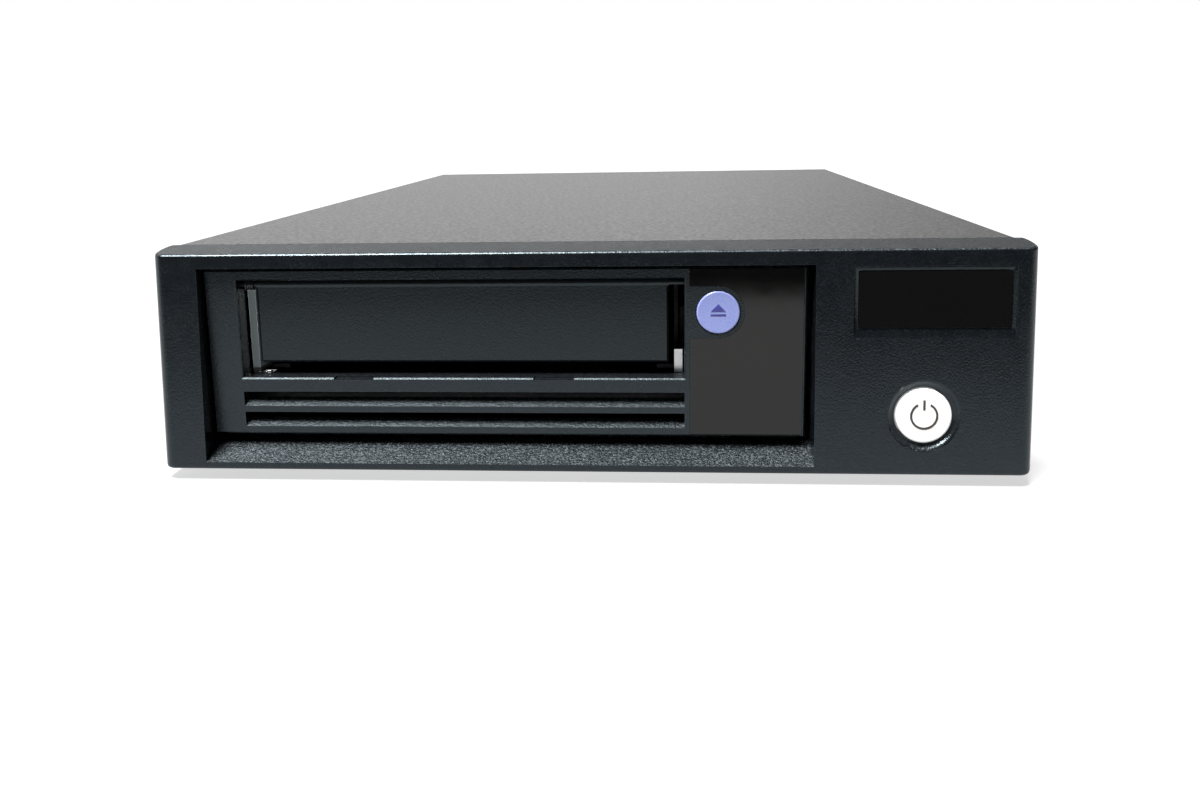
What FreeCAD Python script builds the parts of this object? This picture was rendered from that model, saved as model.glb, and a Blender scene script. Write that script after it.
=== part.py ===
import FreeCAD, Part
import math
import os

import Sketcher

V = FreeCAD.Vector
doc = FreeCAD.newDocument("data_tape_drive")
sheet = doc.addObject("Spreadsheet::Sheet", "dims")


# ---------------------------------------------------------------- driving dimensions (mm)

driving = {
    "case_width": 213.0,  # over the front bezel
    "case_depth": 332.0,  # bezel's bottom edge to the cover's rear edge
    "case_height": 58.0,  # feet included
    "foot_lift": 2.72,  # table to the bezel's bottom edge
    "foot_radius": 7.0,
    "foot_inset_x": 16.0,
    "foot_inset_y": 30.0,
    "sheet_gauge": 1.0,  # cover, tray and rear panel
    "fold_gap": 0.1,  # between sheets that slide together
    "cover_inset": 2.83,  # bezel stands proud of the cover at each side
    "cover_seam": 0.3,
    "tray_lift": 0.48,  # tray above the bezel's bottom edge
    "tray_flange": 15.0,
    "rear_recess": 2.0,
    "bezel_depth": 12.16,
    "bezel_wall": 2.6,
    "bezel_corner": 3.0,
    "face_height": 53.75,
    "face_lean": 3.86,
    "recess_gap_left": 0.45,  # beside the drive's bezel
    "recess_gap_right": 1.62,
    "recess_sill": 1.82,
    "recess_height": 48.42,
    "ledge_rise": 3.64,
    "ledge_depth": 10.14,
    "plate_inset_left": 9.9,  # nameplate panel from the drive's opening
    "plate_inset_right": 6.2,  # and from the bezel's side
    "plate_height": 13.3,
    "plate_rise": 35.5,  # its lower edge, up the leaning face
    "plate_margin": 1.1,
    "plate_lip": 2.7,
    "plate_depth": 1.2,
    "plate_shelf": 0.6,  # depth of the recess round the panel
    "power_rise": 14.4,
    "power_radius": 6.5,
    "power_length": 6.0,
    "power_travel": 1.2,
    "dish_radius": 8.75,
    "dish_depth": 1.6,
    "dish_floor": 7.0,  # its radius at the bottom
    "button_gap": 0.25,
    "drive_margin": 9.2,  # drive's pan from the cover's inner face
    "drive_lift": 7.6,  # drive bezel above the case bezel's bottom edge
    "drive_setback": 6.2,
    "bezel_overhang": 1.25,  # drive bezel beyond the pan at each side
    "drive_bezel_height": 41.95,
    "drive_bezel_depth": 6.0,
    "drive_face_wall": 3.0,
    "drive_rim_wall": 1.5,
    "mouth_shift": -10.5,  # from the drive's middle
    "door_side_gap": 3.89,
    "mouth_height": 24.73,
    "mouth_rise": 14.53,
    "lip_notch": 10.2,
    "louvre_low": 1.99,
    "louvre_high": 7.27,
    "louvre_height": 3.7,
    "louvre_slope": 1.65,
    "louvre_depth": 2.5,
    "window_post": 1.18,  # between the mouth and the window
    "window_margin": 0.68,  # between the window and the bezel's edge
    "window_rise": 0.4,
    "window_height": 41.2,
    "window_gauge": 1.5,
    "window_gap": 0.08,
    "eject_inset": 6.87,  # from the window's inner edge
    "eject_rise": 30.94,
    "eject_radius": 5.2,
    "eject_length": 4.4,
    "eject_travel": 1.0,
    "notch_radius": 6.4,
    "door_width": 103.4,
    "door_gauge": 1.8,
    "door_setback": 3.5,
    "door_drop": 19.9,  # hinge axis to the door's lower edge
    "hinge_drop": 1.5,  # hinge axis below the mouth's upper edge
    "hinge_radius": 1.2,
    "hinge_pin": 0.8,
    "pin_fit": 0.05,
    "pan_width": 146.0,
    "pan_height": 41.3,
    "pan_length": 208.0,
    "pan_gauge": 1.2,
    "pan_lift": 0.3,
    "lid_gauge": 0.8,
    "deck_lift": 5.6,  # deck plate above the pan's underside
    "deck_gauge": 2.0,
    "cartridge_width": 105.4,
    "cartridge_height": 21.5,
    "cartridge_gap": 0.4,
    "tray_start": 15.0,  # behind the drive's face
    "tray_length": 91.0,
    "tray_gauge": 1.0,
    "tray_lip": 4.5,
    "load_travel": 12.0,
    "drop_travel": 5.0,
    "sled_gauge": 1.2,
    "sled_gap": 0.4,
    "tray_pin": 1.5,
    "reel_inset": 45.97,  # from the pan's left side
    "reel_setback": 45.2,  # from the pan's back
    "reel_radius": 38.0,
    "reel_hub": 20.0,
    "hub_set": 57.8,  # behind the tray's front edge
    "hub_radius": 19.0,
    "shaft_radius": 2.5,
    "tape_low": 24.0,  # tape path above the table
    "tape_high": 37.4,
    "roller_radius": 5.5,
    "roller_ring": 34.0,  # rollers stand on an arc round the arm's pivot
    "last_roller_ring": 24.6,
    "roller_pin": 1.5,
    "arm_inset": 22.13,  # pivot inside the tray's right wall
    "arm_setback": 55.8,  # and behind the tray
    "arm_length": 46.5,
    "arm_rest": -58.0,  # degrees from +X
    "head_reach": 24.0,  # from the arm's pivot
    "head_offset": 3.0,
    "head_stroke": 3.2,
    "fan_pitch": 51.0,  # fan's axis from the inlet's
    "fan_size": 40.0,
    "fan_depth": 20.0,
    "fan_gap": 0.5,
    "inlet_inset": 25.47,  # from the rear panel's right end
    "port_inset": 41.47,  # from its left end
    "port_pitch": 24.0,
    "supply_gap": 5.47,  # supply board from the pan
    "supply_margin": 1.57,  # and from the tray's flange
    "supply_length": 150.0,
    "supply_setback": 33.84,  # behind the front bezel
    "board_lift": 6.0,
    "board_gauge": 1.6,
    "core_width": 19.0,
    "core_length": 24.0,
    "core_height": 22.0,
    "winding_radius": 10.0,
    "winding_height": 17.0,
    "can_radius": 9.0,
    "can_height": 26.0,
    "small_can_radius": 5.0,
    "small_can_height": 18.0,
    "can_gap": 1.0,
    "sink_height": 26.0,
    "sink_base": 3.0,
    "sink_gap": 3.0,
    "fin_pitch": 3.3,
    "fin_gauge": 1.5,
    "bracket_gauge": 1.2,
    "bracket_foot": 7.5,
    "bracket_inset": 50.0,  # its screws from the pan's ends
    "bracket_tail": 12.0,
    "motor_radius": 21.0,
    "motor_bore": 3.2,
    "rack_gap": 1.6,  # rack's pitch line from the sled
    "tooth_tip": 0.85,
    "tooth_root": 1.15,
    "tooth_half": 0.66,  # half a tooth's width on the pitch line
    "pinion_radius": 6.0,
    "wheel_radius": 7.2,
}


class Size:
    """A number together with the sheet expression that gives it."""

    def __init__(self, value, text):
        self.value = value
        self.text = text

    def join(self, other, sign, value):
        return Size(value, f"({self.text} {sign} {other.text})")

    def __add__(self, other):
        other = size_of(other)
        return self.join(other, "+", self.value + other.value)

    def __sub__(self, other):
        other = size_of(other)
        return self.join(other, "-", self.value - other.value)

    def __mul__(self, other):
        other = size_of(other)
        return self.join(other, "*", self.value * other.value)

    def __truediv__(self, other):
        other = size_of(other)
        return self.join(other, "/", self.value / other.value)

    def __radd__(self, other):
        return size_of(other) + self

    def __rsub__(self, other):
        return size_of(other) - self

    def __rmul__(self, other):
        return size_of(other) * self

    def __neg__(self):
        return Size(-self.value, f"(0 - {self.text})")


def size_of(number):
    if isinstance(number, Size):
        return number
    return Size(float(number), f"({float(number):.6f})")


def tan_angle(rise, run):
    """Angle in degrees whose tangent is rise / run."""
    degrees = math.degrees(math.atan2(rise.value, run.value))
    return Size(degrees, f"(atan({rise.text} / {run.text}))")


def cosine(angle):
    return Size(math.cos(math.radians(angle.value)), f"cos({angle.text})")


def sine(angle):
    return Size(math.sin(math.radians(angle.value)), f"sin({angle.text})")


class Dims:
    """The sheet's cells, read by name as sizes."""


d = Dims()
for row, (alias, number) in enumerate(driving.items(), start=1):
    sheet.set(f"A{row}", alias.replace("_", " "))
    sheet.set(f"B{row}", str(number))
    sheet.setAlias(f"B{row}", alias)
    setattr(d, alias, Size(number, f"dims.{alias}"))
doc.recompute()


# ---------------------------------------------------------------- modelling helpers

parts = {}
cuts = []


def bind(target, name, size):
    target.setExpression(name, size_of(size).text)


def publish(name, shape_object):
    """Register a finished sub-part under its node name."""
    shape_object.Label = name
    parts[name] = shape_object
    return shape_object


def new_body(name):
    return publish(name, doc.addObject("PartDesign::Body", name))


def sketch_on(body, role, at, lean=None):
    sketch = body.newObject("Sketcher::SketchObject", "profile")
    plane = [item for item in body.Origin.OriginFeatures if item.Role == role]
    sketch.AttachmentSupport = [(plane[0], "")]
    sketch.MapMode = "FlatFace"
    at = size_of(at)
    if role == "XZ_Plane":
        at = -at
    if lean is not None:
        start, base, angle = lean
        depth = -at - start
        sketch.AttachmentOffset = FreeCAD.Placement(V(0, 0, 0), FreeCAD.Rotation(V(-1, 0, 0), angle.value))
        bind(sketch, "AttachmentOffset.Rotation.Angle", angle)
        bind(sketch, "AttachmentOffset.Base.y", base - depth * sine(angle))
        at = -start - depth * cosine(angle)
    bind(sketch, "AttachmentOffset.Base.z", at)
    return sketch


def constrain(sketch, kind, first, point, size):
    if kind == "Radius":
        index = sketch.addConstraint(Sketcher.Constraint(kind, first, size.value))
    else:
        index = sketch.addConstraint(Sketcher.Constraint(kind, -1, 1, first, point, size.value))
    bind(sketch, f"Constraints[{index}]", size)


def arc_between(start, end, centre):
    """Arc geometry that runs counter-clockwise from start to end."""
    radius = math.hypot(start[0] - centre[0], start[1] - centre[1])
    low = math.atan2(start[1] - centre[1], start[0] - centre[0])
    high = math.atan2(end[1] - centre[1], end[0] - centre[0])
    if high <= low:
        high += 2 * math.pi
    return Part.ArcOfCircle(Part.Circle(V(centre[0], centre[1], 0), V(0, 0, 1), radius), low, high)


def polygon(sketch, corners, closed=True):
    """Outline of straight edges; a corner (x, y, centre, clockwise) starts an arc instead."""
    points = [(size_of(corner[0]), size_of(corner[1])) for corner in corners]
    values = [(x.value, y.value) for x, y in points]
    count = len(corners)
    segments = []
    last = count if closed else count - 1
    for i, corner in enumerate(corners[:last]):
        start, end = values[i], values[(i + 1) % count]
        if len(corner) == 2:
            line = Part.LineSegment(V(*start, 0), V(*end, 0))
            segments.append((sketch.addGeometry(line), 1, 2))
            continue
        centre = (size_of(corner[2][0]).value, size_of(corner[2][1]).value)
        if corner[3]:
            segments.append((sketch.addGeometry(arc_between(end, start, centre)), 2, 1))
        else:
            segments.append((sketch.addGeometry(arc_between(start, end, centre)), 1, 2))
    for i, (item, start_point, end_point) in enumerate(segments):
        if closed or i < last - 1:
            after = segments[(i + 1) % last]
            sketch.addConstraint(Sketcher.Constraint("Coincident", item, end_point, after[0], after[1]))
        else:
            constrain(sketch, "DistanceX", item, end_point, points[-1][0])
            constrain(sketch, "DistanceY", item, end_point, points[-1][1])
        constrain(sketch, "DistanceX", item, start_point, points[i][0])
        constrain(sketch, "DistanceY", item, start_point, points[i][1])
        if len(corners[i]) > 2:
            start, end = values[i], values[(i + 1) % count]
            upright = abs(end[1] - start[1]) > abs(end[0] - start[0])
            kind, which = ("DistanceX", 0) if upright else ("DistanceY", 1)
            constrain(sketch, kind, item, 3, size_of(corners[i][2][which]))


def polar_row(body, feature, count):
    """Copy a feature round the body's own Z axis."""
    doc.recompute()
    ring_of = body.newObject("PartDesign::PolarPattern", "ring_of")
    ring_of.Originals = [feature]
    ring_of.Axis = ([item for item in body.Origin.OriginFeatures if item.Role == "Z_Axis"][0], [""])
    ring_of.Angle = 360
    ring_of.Occurrences = count
    body.Tip = ring_of
    return ring_of


def circle(sketch, x, y, radius):
    x, y, radius = size_of(x), size_of(y), size_of(radius)
    index = sketch.addGeometry(Part.Circle(V(x.value, y.value, 0), V(0, 0, 1), radius.value))
    constrain(sketch, "Radius", index, 0, radius)
    constrain(sketch, "DistanceX", index, 3, x)
    constrain(sketch, "DistanceY", index, 3, y)


def rectangle(x0, y0, x1, y1):
    return [(x0, y0), (x1, y0), (x1, y1), (x0, y1)]


def draw(sketch, loops):
    for loop in loops:
        if isinstance(loop, tuple):
            circle(sketch, *loop)
        else:
            polygon(sketch, loop)


def prism(body, role, low, high, loops, cut=False, lean=None):
    """Pad or pocket of a profile between two places along the plane's world axis."""
    low, high = size_of(low), size_of(high)
    backwards = role == "XZ_Plane"
    start = high if backwards and not cut else low
    sketch = sketch_on(body, role, start, lean)
    draw(sketch, loops)
    feature = body.newObject("PartDesign::Pocket" if cut else "PartDesign::Pad", "step")
    feature.Profile = sketch
    bind(feature, "Length", high - low)
    if cut:
        feature.Reversed = not backwards
        cuts.append(feature)
    return feature


def spin(body, role, axis, loops, cut=False):
    """Revolve a profile about its sketch's own axis, H_Axis or V_Axis."""
    sketch = body.newObject("Sketcher::SketchObject", "profile")
    plane = [item for item in body.Origin.OriginFeatures if item.Role == role]
    sketch.AttachmentSupport = [(plane[0], "")]
    sketch.MapMode = "FlatFace"
    draw(sketch, loops)
    feature = body.newObject("PartDesign::Groove" if cut else "PartDesign::Revolution", "turn")
    feature.Profile = sketch
    feature.ReferenceAxis = (sketch, [axis])
    feature.Angle = 360
    if cut:
        cuts.append(feature)
    return feature


def dress(body, kind, radius, pick):
    """Fillet or chamfer the edges of the body's present shape that pick chooses."""
    doc.recompute()
    base = body.Tip
    names = [f"Edge{i}" for i, edge in enumerate(base.Shape.Edges, start=1) if pick(edge)]
    if not names:
        raise RuntimeError(f"{body.Name}: no edge to dress")
    feature = body.newObject(f"PartDesign::{kind}", "edges")
    feature.Base = (base, names)
    bind(feature, "Radius" if kind == "Fillet" else "Size", radius)
    return feature


def repeat(body, feature, role_axis, span, count):
    """Copy a feature in a row along one of the body's origin axes."""
    doc.recompute()
    row = body.newObject("PartDesign::LinearPattern", "row")
    row.Originals = [feature]
    axis = [item for item in body.Origin.OriginFeatures if item.Role == role_axis]
    row.Direction = (axis[0], [""])
    bind(row, "Length", span)
    row.Occurrences = count
    body.Tip = row
    return row


def along(edge, axis):
    """True for a straight edge that runs along X, Y or Z."""
    if edge.Curve.TypeId != "Part::GeomLine":
        return False
    return abs(abs(getattr(edge.Curve.Direction, axis)) - 1) < 1e-3


def place(shape_object, x, y, z):
    bind(shape_object, "Placement.Base.x", x)
    bind(shape_object, "Placement.Base.y", y)
    bind(shape_object, "Placement.Base.z", z)


def box(x0, y0, z0, x1, y1, z1):
    block = doc.addObject("Part::Box", "block")
    bind(block, "Length", size_of(x1) - x0)
    bind(block, "Width", size_of(y1) - y0)
    bind(block, "Height", size_of(z1) - z0)
    place(block, x0, y0, z0)
    return block


turned = {
    "x": FreeCAD.Rotation(V(0, 1, 0), 90),
    "y": FreeCAD.Rotation(V(1, 0, 0), -90),
    "z": FreeCAD.Rotation(),
}


def rod(axis, x, y, z, radius, length):
    cylinder = doc.addObject("Part::Cylinder", "round")
    cylinder.Placement.Rotation = turned[axis]
    bind(cylinder, "Radius", radius)
    bind(cylinder, "Height", length)
    place(cylinder, x, y, z)
    return cylinder


def cone(axis, x, y, z, radius, end_radius, length):
    taper = doc.addObject("Part::Cone", "taper")
    taper.Placement.Rotation = turned[axis]
    bind(taper, "Radius1", radius)
    bind(taper, "Radius2", end_radius)
    bind(taper, "Height", length)
    place(taper, x, y, z)
    return taper


def ring(axis, x, y, z, radius, wire):
    torus = doc.addObject("Part::Torus", "ring")
    torus.Placement.Rotation = turned[axis]
    bind(torus, "Radius1", radius)
    bind(torus, "Radius2", wire)
    place(torus, x, y, z)
    return torus


def fuse(*shapes):
    if len(shapes) == 1:
        return shapes[0]
    union = doc.addObject("Part::MultiFuse", "union")
    union.Shapes = list(shapes)
    return union


def cut(base, *tools):
    rest = doc.addObject("Part::Cut", "rest")
    rest.Base = base
    rest.Tool = fuse(*tools)
    return rest


def group(name, members):
    """Several equal solids that share one node."""
    bundle = doc.addObject("Part::Compound", "bundle")
    bundle.Links = list(members)
    return publish(name, bundle)


def coil(name, radius, wire, length, turns):
    """Helical spring along its body's own Z axis, from zero to length."""
    body = new_body(name)
    sketch = body.newObject("Sketcher::SketchObject", "wire")
    plane = [item for item in body.Origin.OriginFeatures if item.Role == "XZ_Plane"]
    sketch.AttachmentSupport = [(plane[0], "")]
    sketch.MapMode = "FlatFace"
    circle(sketch, radius, wire, wire)
    helix = body.newObject("PartDesign::AdditiveHelix", "coil")
    helix.Profile = sketch
    helix.ReferenceAxis = (sketch, ["V_Axis"])
    helix.Mode = "height-turns-angle"
    bind(helix, "Height", size_of(length) - 2 * size_of(wire))
    helix.Turns = turns
    return body


def cable(name, radius, height, bend, corners):
    """Round cable at one height, along straight runs parallel to X or Y joined by quarter bends."""
    body = new_body(name)
    spots = [(size_of(x), size_of(y)) for x, y in corners]
    route = [spots[0]]
    for before, here, after in zip(spots, spots[1:], spots[2:]):
        into = [math.copysign(1, b.value - a.value) if abs(b.value - a.value) > 1e-6 else 0
                for a, b in zip(before, here)]
        out = [math.copysign(1, b.value - a.value) if abs(b.value - a.value) > 1e-6 else 0
               for a, b in zip(here, after)]
        start = [here[i] - bend * into[i] for i in (0, 1)]
        end = [here[i] + bend * out[i] for i in (0, 1)]
        centre = [start[i] + bend * out[i] for i in (0, 1)]
        clockwise = into[0] * out[1] - into[1] * out[0] < 0
        route += [(start[0], start[1], centre, clockwise), (end[0], end[1])]
    route.append(spots[-1])
    spine = sketch_on(body, "XY_Plane", height)
    polygon(spine, route, closed=False)
    section = sketch_on(body, "XZ_Plane", spots[0][1])
    circle(section, spots[0][0], height, radius)
    pipe = body.newObject("PartDesign::AdditivePipe", "sheath")
    pipe.Profile = section
    pipe.Spine = (spine, [])
    return body


def screw(axis, x, y, z, shank, length, head, head_height, sign=1):
    """Pan-head screw: the head starts at the given point, the shank runs along +axis (sign 1) or -axis."""
    offset = {"x": (1, 0, 0), "y": (0, 1, 0), "z": (0, 0, 1)}[axis]
    x, y, z = size_of(x), size_of(y), size_of(z)
    back = size_of(head_height if sign > 0 else 0)
    hx, hy, hz = x - back * offset[0], y - back * offset[1], z - back * offset[2]
    reach = size_of(0 if sign > 0 else length)
    sx, sy, sz = x - reach * offset[0], y - reach * offset[1], z - reach * offset[2]
    return fuse(rod(axis, hx, hy, hz, head, head_height), rod(axis, sx, sy, sz, shank, length))


# ---------------------------------------------------------------- places that several pieces share

front = -d.case_depth / 2
back = d.case_depth / 2
floor_z = d.foot_lift
top_z = d.case_height
half = d.case_width / 2
cover_half = half - d.cover_inset
cover_in = cover_half - d.sheet_gauge
roof_z = top_z - d.sheet_gauge
bezel_back = front + d.bezel_depth
tray_z = floor_z + d.tray_lift
tray_top = tray_z + d.sheet_gauge
flange_out = cover_in - d.fold_gap
flange_in = flange_out - d.sheet_gauge
rear_face = back - d.rear_recess
rear_in = rear_face - d.sheet_gauge
lean = tan_angle(d.face_lean, d.face_height)
face_frame = (front, floor_z, lean)

drive_x = d.drive_margin + d.pan_width / 2 - cover_in
drive_left = drive_x - d.pan_width / 2 - d.bezel_overhang
drive_right = drive_x + d.pan_width / 2 + d.bezel_overhang
drive_face = front + d.drive_setback
drive_z = floor_z + d.drive_lift
pan_front = drive_face + d.drive_bezel_depth
pan_back = pan_front + d.pan_length
pan_z = drive_z + d.pan_lift
pan_top = pan_z + d.pan_height - d.lid_gauge
pan_left = drive_x - d.pan_width / 2
pan_right = drive_x + d.pan_width / 2
pan_floor = pan_z + d.pan_gauge
deck_z = pan_z + d.deck_lift
deck_top = deck_z + d.deck_gauge
mouth_x = drive_x + d.mouth_shift
mouth_left = mouth_x - d.door_width / 2 - d.door_side_gap
mouth_right = mouth_x + d.door_width / 2 + d.door_side_gap
mouth_z = drive_z + d.mouth_rise
mouth_top = mouth_z + d.mouth_height
hinge_z = mouth_top - d.hinge_drop
hinge_y = drive_face + d.door_setback + d.door_gauge / 2
cart_z = mouth_z + d.cartridge_gap
cart_half = d.cartridge_width / 2 + d.cartridge_gap
tray_front = drive_face + d.tray_start
tray_back = tray_front + d.tray_length

recess_left = drive_left - d.recess_gap_left
recess_right = drive_right + d.recess_gap_right
cheek_half = (half - recess_right) / 2
power_x = recess_right + cheek_half
plate_left = recess_right + d.plate_inset_left
plate_right = half - d.plate_inset_right
window_left = mouth_right + d.window_post
window_right = drive_right - d.window_margin
eject_x = window_left + d.eject_inset
eject_z = drive_z + d.eject_rise

hub_x = mouth_x
hub_y = tray_front + d.hub_set
reel_x = pan_left + d.reel_inset
reel_y = pan_back - d.reel_setback
arm_x = mouth_x + cart_half - d.arm_inset
arm_y = tray_back + d.arm_setback
head_x = arm_x + d.head_reach
head_y = arm_y + d.head_offset

panel_side = flange_in - d.fold_gap
inlet_x = panel_side - d.inlet_inset
fan_x = inlet_x - d.fan_pitch
port_x = d.port_inset - panel_side
port_places = (port_x, port_x + d.port_pitch)
supply_left = pan_right + d.supply_gap
supply_right = flange_in - d.supply_margin
supply_x = (supply_left + supply_right) / 2
supply_front = bezel_back + d.supply_setback
supply_end = supply_front + d.supply_length

pillar_spots = []
fold_screw_side = flange_in - 21.57
fold_screws_x = (-fold_screw_side, size_of(0), fold_screw_side)
socket_x = drive_x + 18
socket_half = 21.0
guide_fold = 2.0
fan_z = tray_top + 6 + d.fan_size / 2
fan_bore = d.fan_size / 2 - 1
fan_hub = size_of(9.0)
inlet_z = tray_top + 15
inlet_half_x = 13.6
inlet_half_z = 10.1
port_z = tray_top + 12
port_half_x = 7.2
port_half_z = 5.0
board_top = pan_floor + 2.6
lid_tabs_x = (pan_left + d.pan_gauge + 2.3, pan_right - d.pan_gauge - 2.3)
lid_tabs_y = (pan_front + 7, pan_back - 8)
bracket_holes_y = (pan_front + d.bracket_inset, pan_back - d.bracket_inset)
bracket_hole_z = pan_z + 12
sled_left = mouth_x - cart_half - d.tray_gauge - d.sled_gap - d.sled_gauge
sled_right = mouth_x + cart_half + d.tray_gauge + d.sled_gap + d.sled_gauge
pin_z = cart_z + 8
rack_x = sled_right + d.rack_gap
rack_lift = 0.5
rack_height = 3.0
rack_teeth = 10
rack_lead = 7  # teeth in front of the pinion at rest
pinion_teeth = 12
wheel_teeth = 16
rack_pitch = 2 * math.pi / pinion_teeth * d.pinion_radius
tooth_slope = math.tan(math.radians(20))
pinion_slope = 0.18
pinion_x = rack_x + d.pinion_radius
pinion_y = tray_front + 52
roller_spots = ((-58, d.roller_ring), (-26, d.roller_ring), (34, d.roller_ring), (66, d.last_roller_ring))

screw_head = 2.9
screw_flat = 1.6
screw_shank = 1.5
screw_hole = 1.7


# ---------------------------------------------------------------- enclosure: front bezel

def on_face(rise, depth):
    """Place (y, z) at a height up the leaning face and a depth behind it."""
    rise, depth = size_of(rise), size_of(depth)
    y = front + rise * sine(lean) + depth * cosine(lean)
    return (y, floor_z + rise * cosine(lean) - depth * sine(lean))


def front_bezel():
    body = new_body("front_bezel")
    face_top = floor_z + d.face_height
    lean_y = front + d.face_lean
    side = [(front, floor_z), (bezel_back, floor_z), (bezel_back, top_z), (lean_y, face_top)]
    prism(body, "YZ_Plane", -half, half, [side])
    dress(body, "Fillet", d.bezel_corner, lambda edge: len(edge.Vertexes) == 2 and not along(edge, "x")
          and edge.BoundBox.ZLength > d.face_height.value * 0.9 and edge.BoundBox.YMin < lean_y.value)
    dress(body, "Fillet", 0.8, lambda edge: edge.BoundBox.YMax < lean_y.value + 0.7
          and abs(edge.BoundBox.ZMin - edge.BoundBox.ZMax) < 0.8)

    wall = d.bezel_wall
    slope = d.face_lean / d.face_height
    ring_wall = size_of(1.8)
    hollow_low = floor_z + wall
    hollow_high = face_top - wall
    inner = [(front + wall + slope * wall, hollow_low), (bezel_back + 1, hollow_low),
             (bezel_back + 1, hollow_high), (front + wall + slope * (d.face_height - wall), hollow_high)]
    prism(body, "YZ_Plane", recess_right + ring_wall, half - wall, [inner], cut=True)
    prism(body, "YZ_Plane", wall - half, recess_left - ring_wall, [inner], cut=True)

    sill = floor_z + d.recess_sill
    ledge_y = front + d.ledge_depth
    ledge_z = sill + d.ledge_rise
    recess_top = sill + d.recess_height
    recess = [(front - 1, sill - d.ledge_rise / d.ledge_depth), (ledge_y, ledge_z),
              (bezel_back + 1, ledge_z), (bezel_back + 1, recess_top), (front - 1, recess_top)]
    prism(body, "YZ_Plane", recess_left, recess_right, [recess], cut=True)

    boss_y = bezel_back - 3
    tube_radius = d.power_radius + d.button_gap + 1.6
    power_z = floor_z + d.power_rise * cosine(lean)
    power_y = front + d.power_rise * sine(lean)
    prism(body, "XZ_Plane", power_y + d.bezel_wall / 2, boss_y, [(power_x, power_z, tube_radius)])
    bore = (power_x, d.power_rise, d.power_radius + d.button_gap)
    prism(body, "XZ_Plane", front - 2, front + 14, [bore], cut=True, lean=face_frame)
    rim = (power_x, d.power_rise, d.dish_radius)
    dish = prism(body, "XZ_Plane", front, front + d.dish_depth, [rim], cut=True, lean=face_frame)
    bind(dish, "TaperAngle", tan_angle(d.dish_radius - d.dish_floor, d.dish_depth) * -1)

    left = plate_left - d.plate_margin
    right = plate_right + d.plate_margin
    low = d.plate_rise - d.plate_lip
    high = d.plate_rise + d.plate_height + d.plate_margin
    shelf = [on_face(low, -1), on_face(low, 0), on_face(d.plate_rise - 0.4, d.plate_shelf),
             on_face(high, d.plate_shelf), on_face(high, -1)]
    prism(body, "YZ_Plane", left, right, [shelf], cut=True)
    gap = d.window_gap
    seat = rectangle(plate_left - gap, d.plate_rise - gap,
                     plate_right + gap, d.plate_rise + d.plate_height + gap)
    prism(body, "XZ_Plane", front - 2, front + d.plate_depth, [seat], cut=True, lean=face_frame)

    tab_out = flange_in - d.fold_gap
    for edge_in, edge_out in ((-tab_out, 2.2 - tab_out), (tab_out - 2.2, tab_out)):
        prism(body, "XY_Plane", tray_top + 3, tray_top + 13,
              [rectangle(edge_in, front + d.bezel_wall, edge_out, bezel_back + 11)])
    shank_hole = (bezel_back + 7, tray_top + 8, size_of(screw_shank) + 0.02)
    prism(body, "YZ_Plane", -half, half, [shank_hole], cut=True)
    return body


def nameplate_window():
    body = new_body("nameplate_window")
    panel = rectangle(plate_left, d.plate_rise, plate_right, d.plate_rise + d.plate_height)
    prism(body, "XZ_Plane", front + 0.3, front + d.plate_depth, [panel], lean=face_frame)
    dress(body, "Fillet", 0.8, lambda edge: edge.Length < d.plate_depth.value)
    return body


def power_button():
    body = new_body("power_button")
    cap = (power_x, d.power_rise, d.power_radius)
    prism(body, "XZ_Plane", front + 0.1, front + d.power_length, [cap], lean=face_frame)
    dress(body, "Fillet", 0.5, lambda edge: edge.BoundBox.YMax < front.value + d.power_length.value * 0.5
          + 1.0 and abs(edge.Length - 2 * math.pi * d.power_radius.value) < 0.1)
    stem = (power_x, d.power_rise, 2.0)
    stem_start = front + d.power_length - 1
    prism(body, "XZ_Plane", stem_start, stem_start + 6.6, [stem], lean=face_frame)
    return body


def power_switch_board():
    board_y = bezel_back + 3
    reach = cheek_half - 7.5
    board = box(power_x - reach, board_y, tray_top + 1.5, power_x + reach, board_y + 1.2, tray_top + 26)
    seat_z = floor_z + d.power_rise * cosine(lean) - 0.9
    switch = box(power_x - 3, board_y - 1.2, seat_z - 3, power_x + 3, board_y + 0.2, seat_z + 3)
    feet = [box(x - 2, board_y, tray_top, x + 2, board_y + 6, tray_top + 2)
            for x in (power_x - reach + 5, power_x + reach - 5)]
    publish("power_switch_board", fuse(board, switch, *feet))


# ---------------------------------------------------------------- enclosure: sheet metal

def top_cover():
    body = new_body("top_cover")
    bend = size_of(1.2)
    outer = rectangle(-cover_half, tray_z, cover_half, top_z)
    prism(body, "XZ_Plane", bezel_back + d.cover_seam, back, [outer])
    dress(body, "Fillet", bend, lambda edge: along(edge, "y") and edge.BoundBox.ZMin > top_z.value - 0.1)
    inner = rectangle(-cover_in, tray_z - 1, cover_in, roof_z)
    prism(body, "XZ_Plane", front, back + 1, [inner], cut=True)
    slot_y = back - 95
    slot = rectangle(slot_y, roof_z - 27, slot_y + 2.4, roof_z - 13)
    vent = prism(body, "YZ_Plane", -half, half, [slot], cut=True)
    repeat(body, vent, "Y_Axis", 66, 12)
    holes = [(y, tray_top + 8, screw_hole) for y in (bezel_back + 7, back - 20)]
    prism(body, "YZ_Plane", -half, half, holes, cut=True)
    return body


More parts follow.
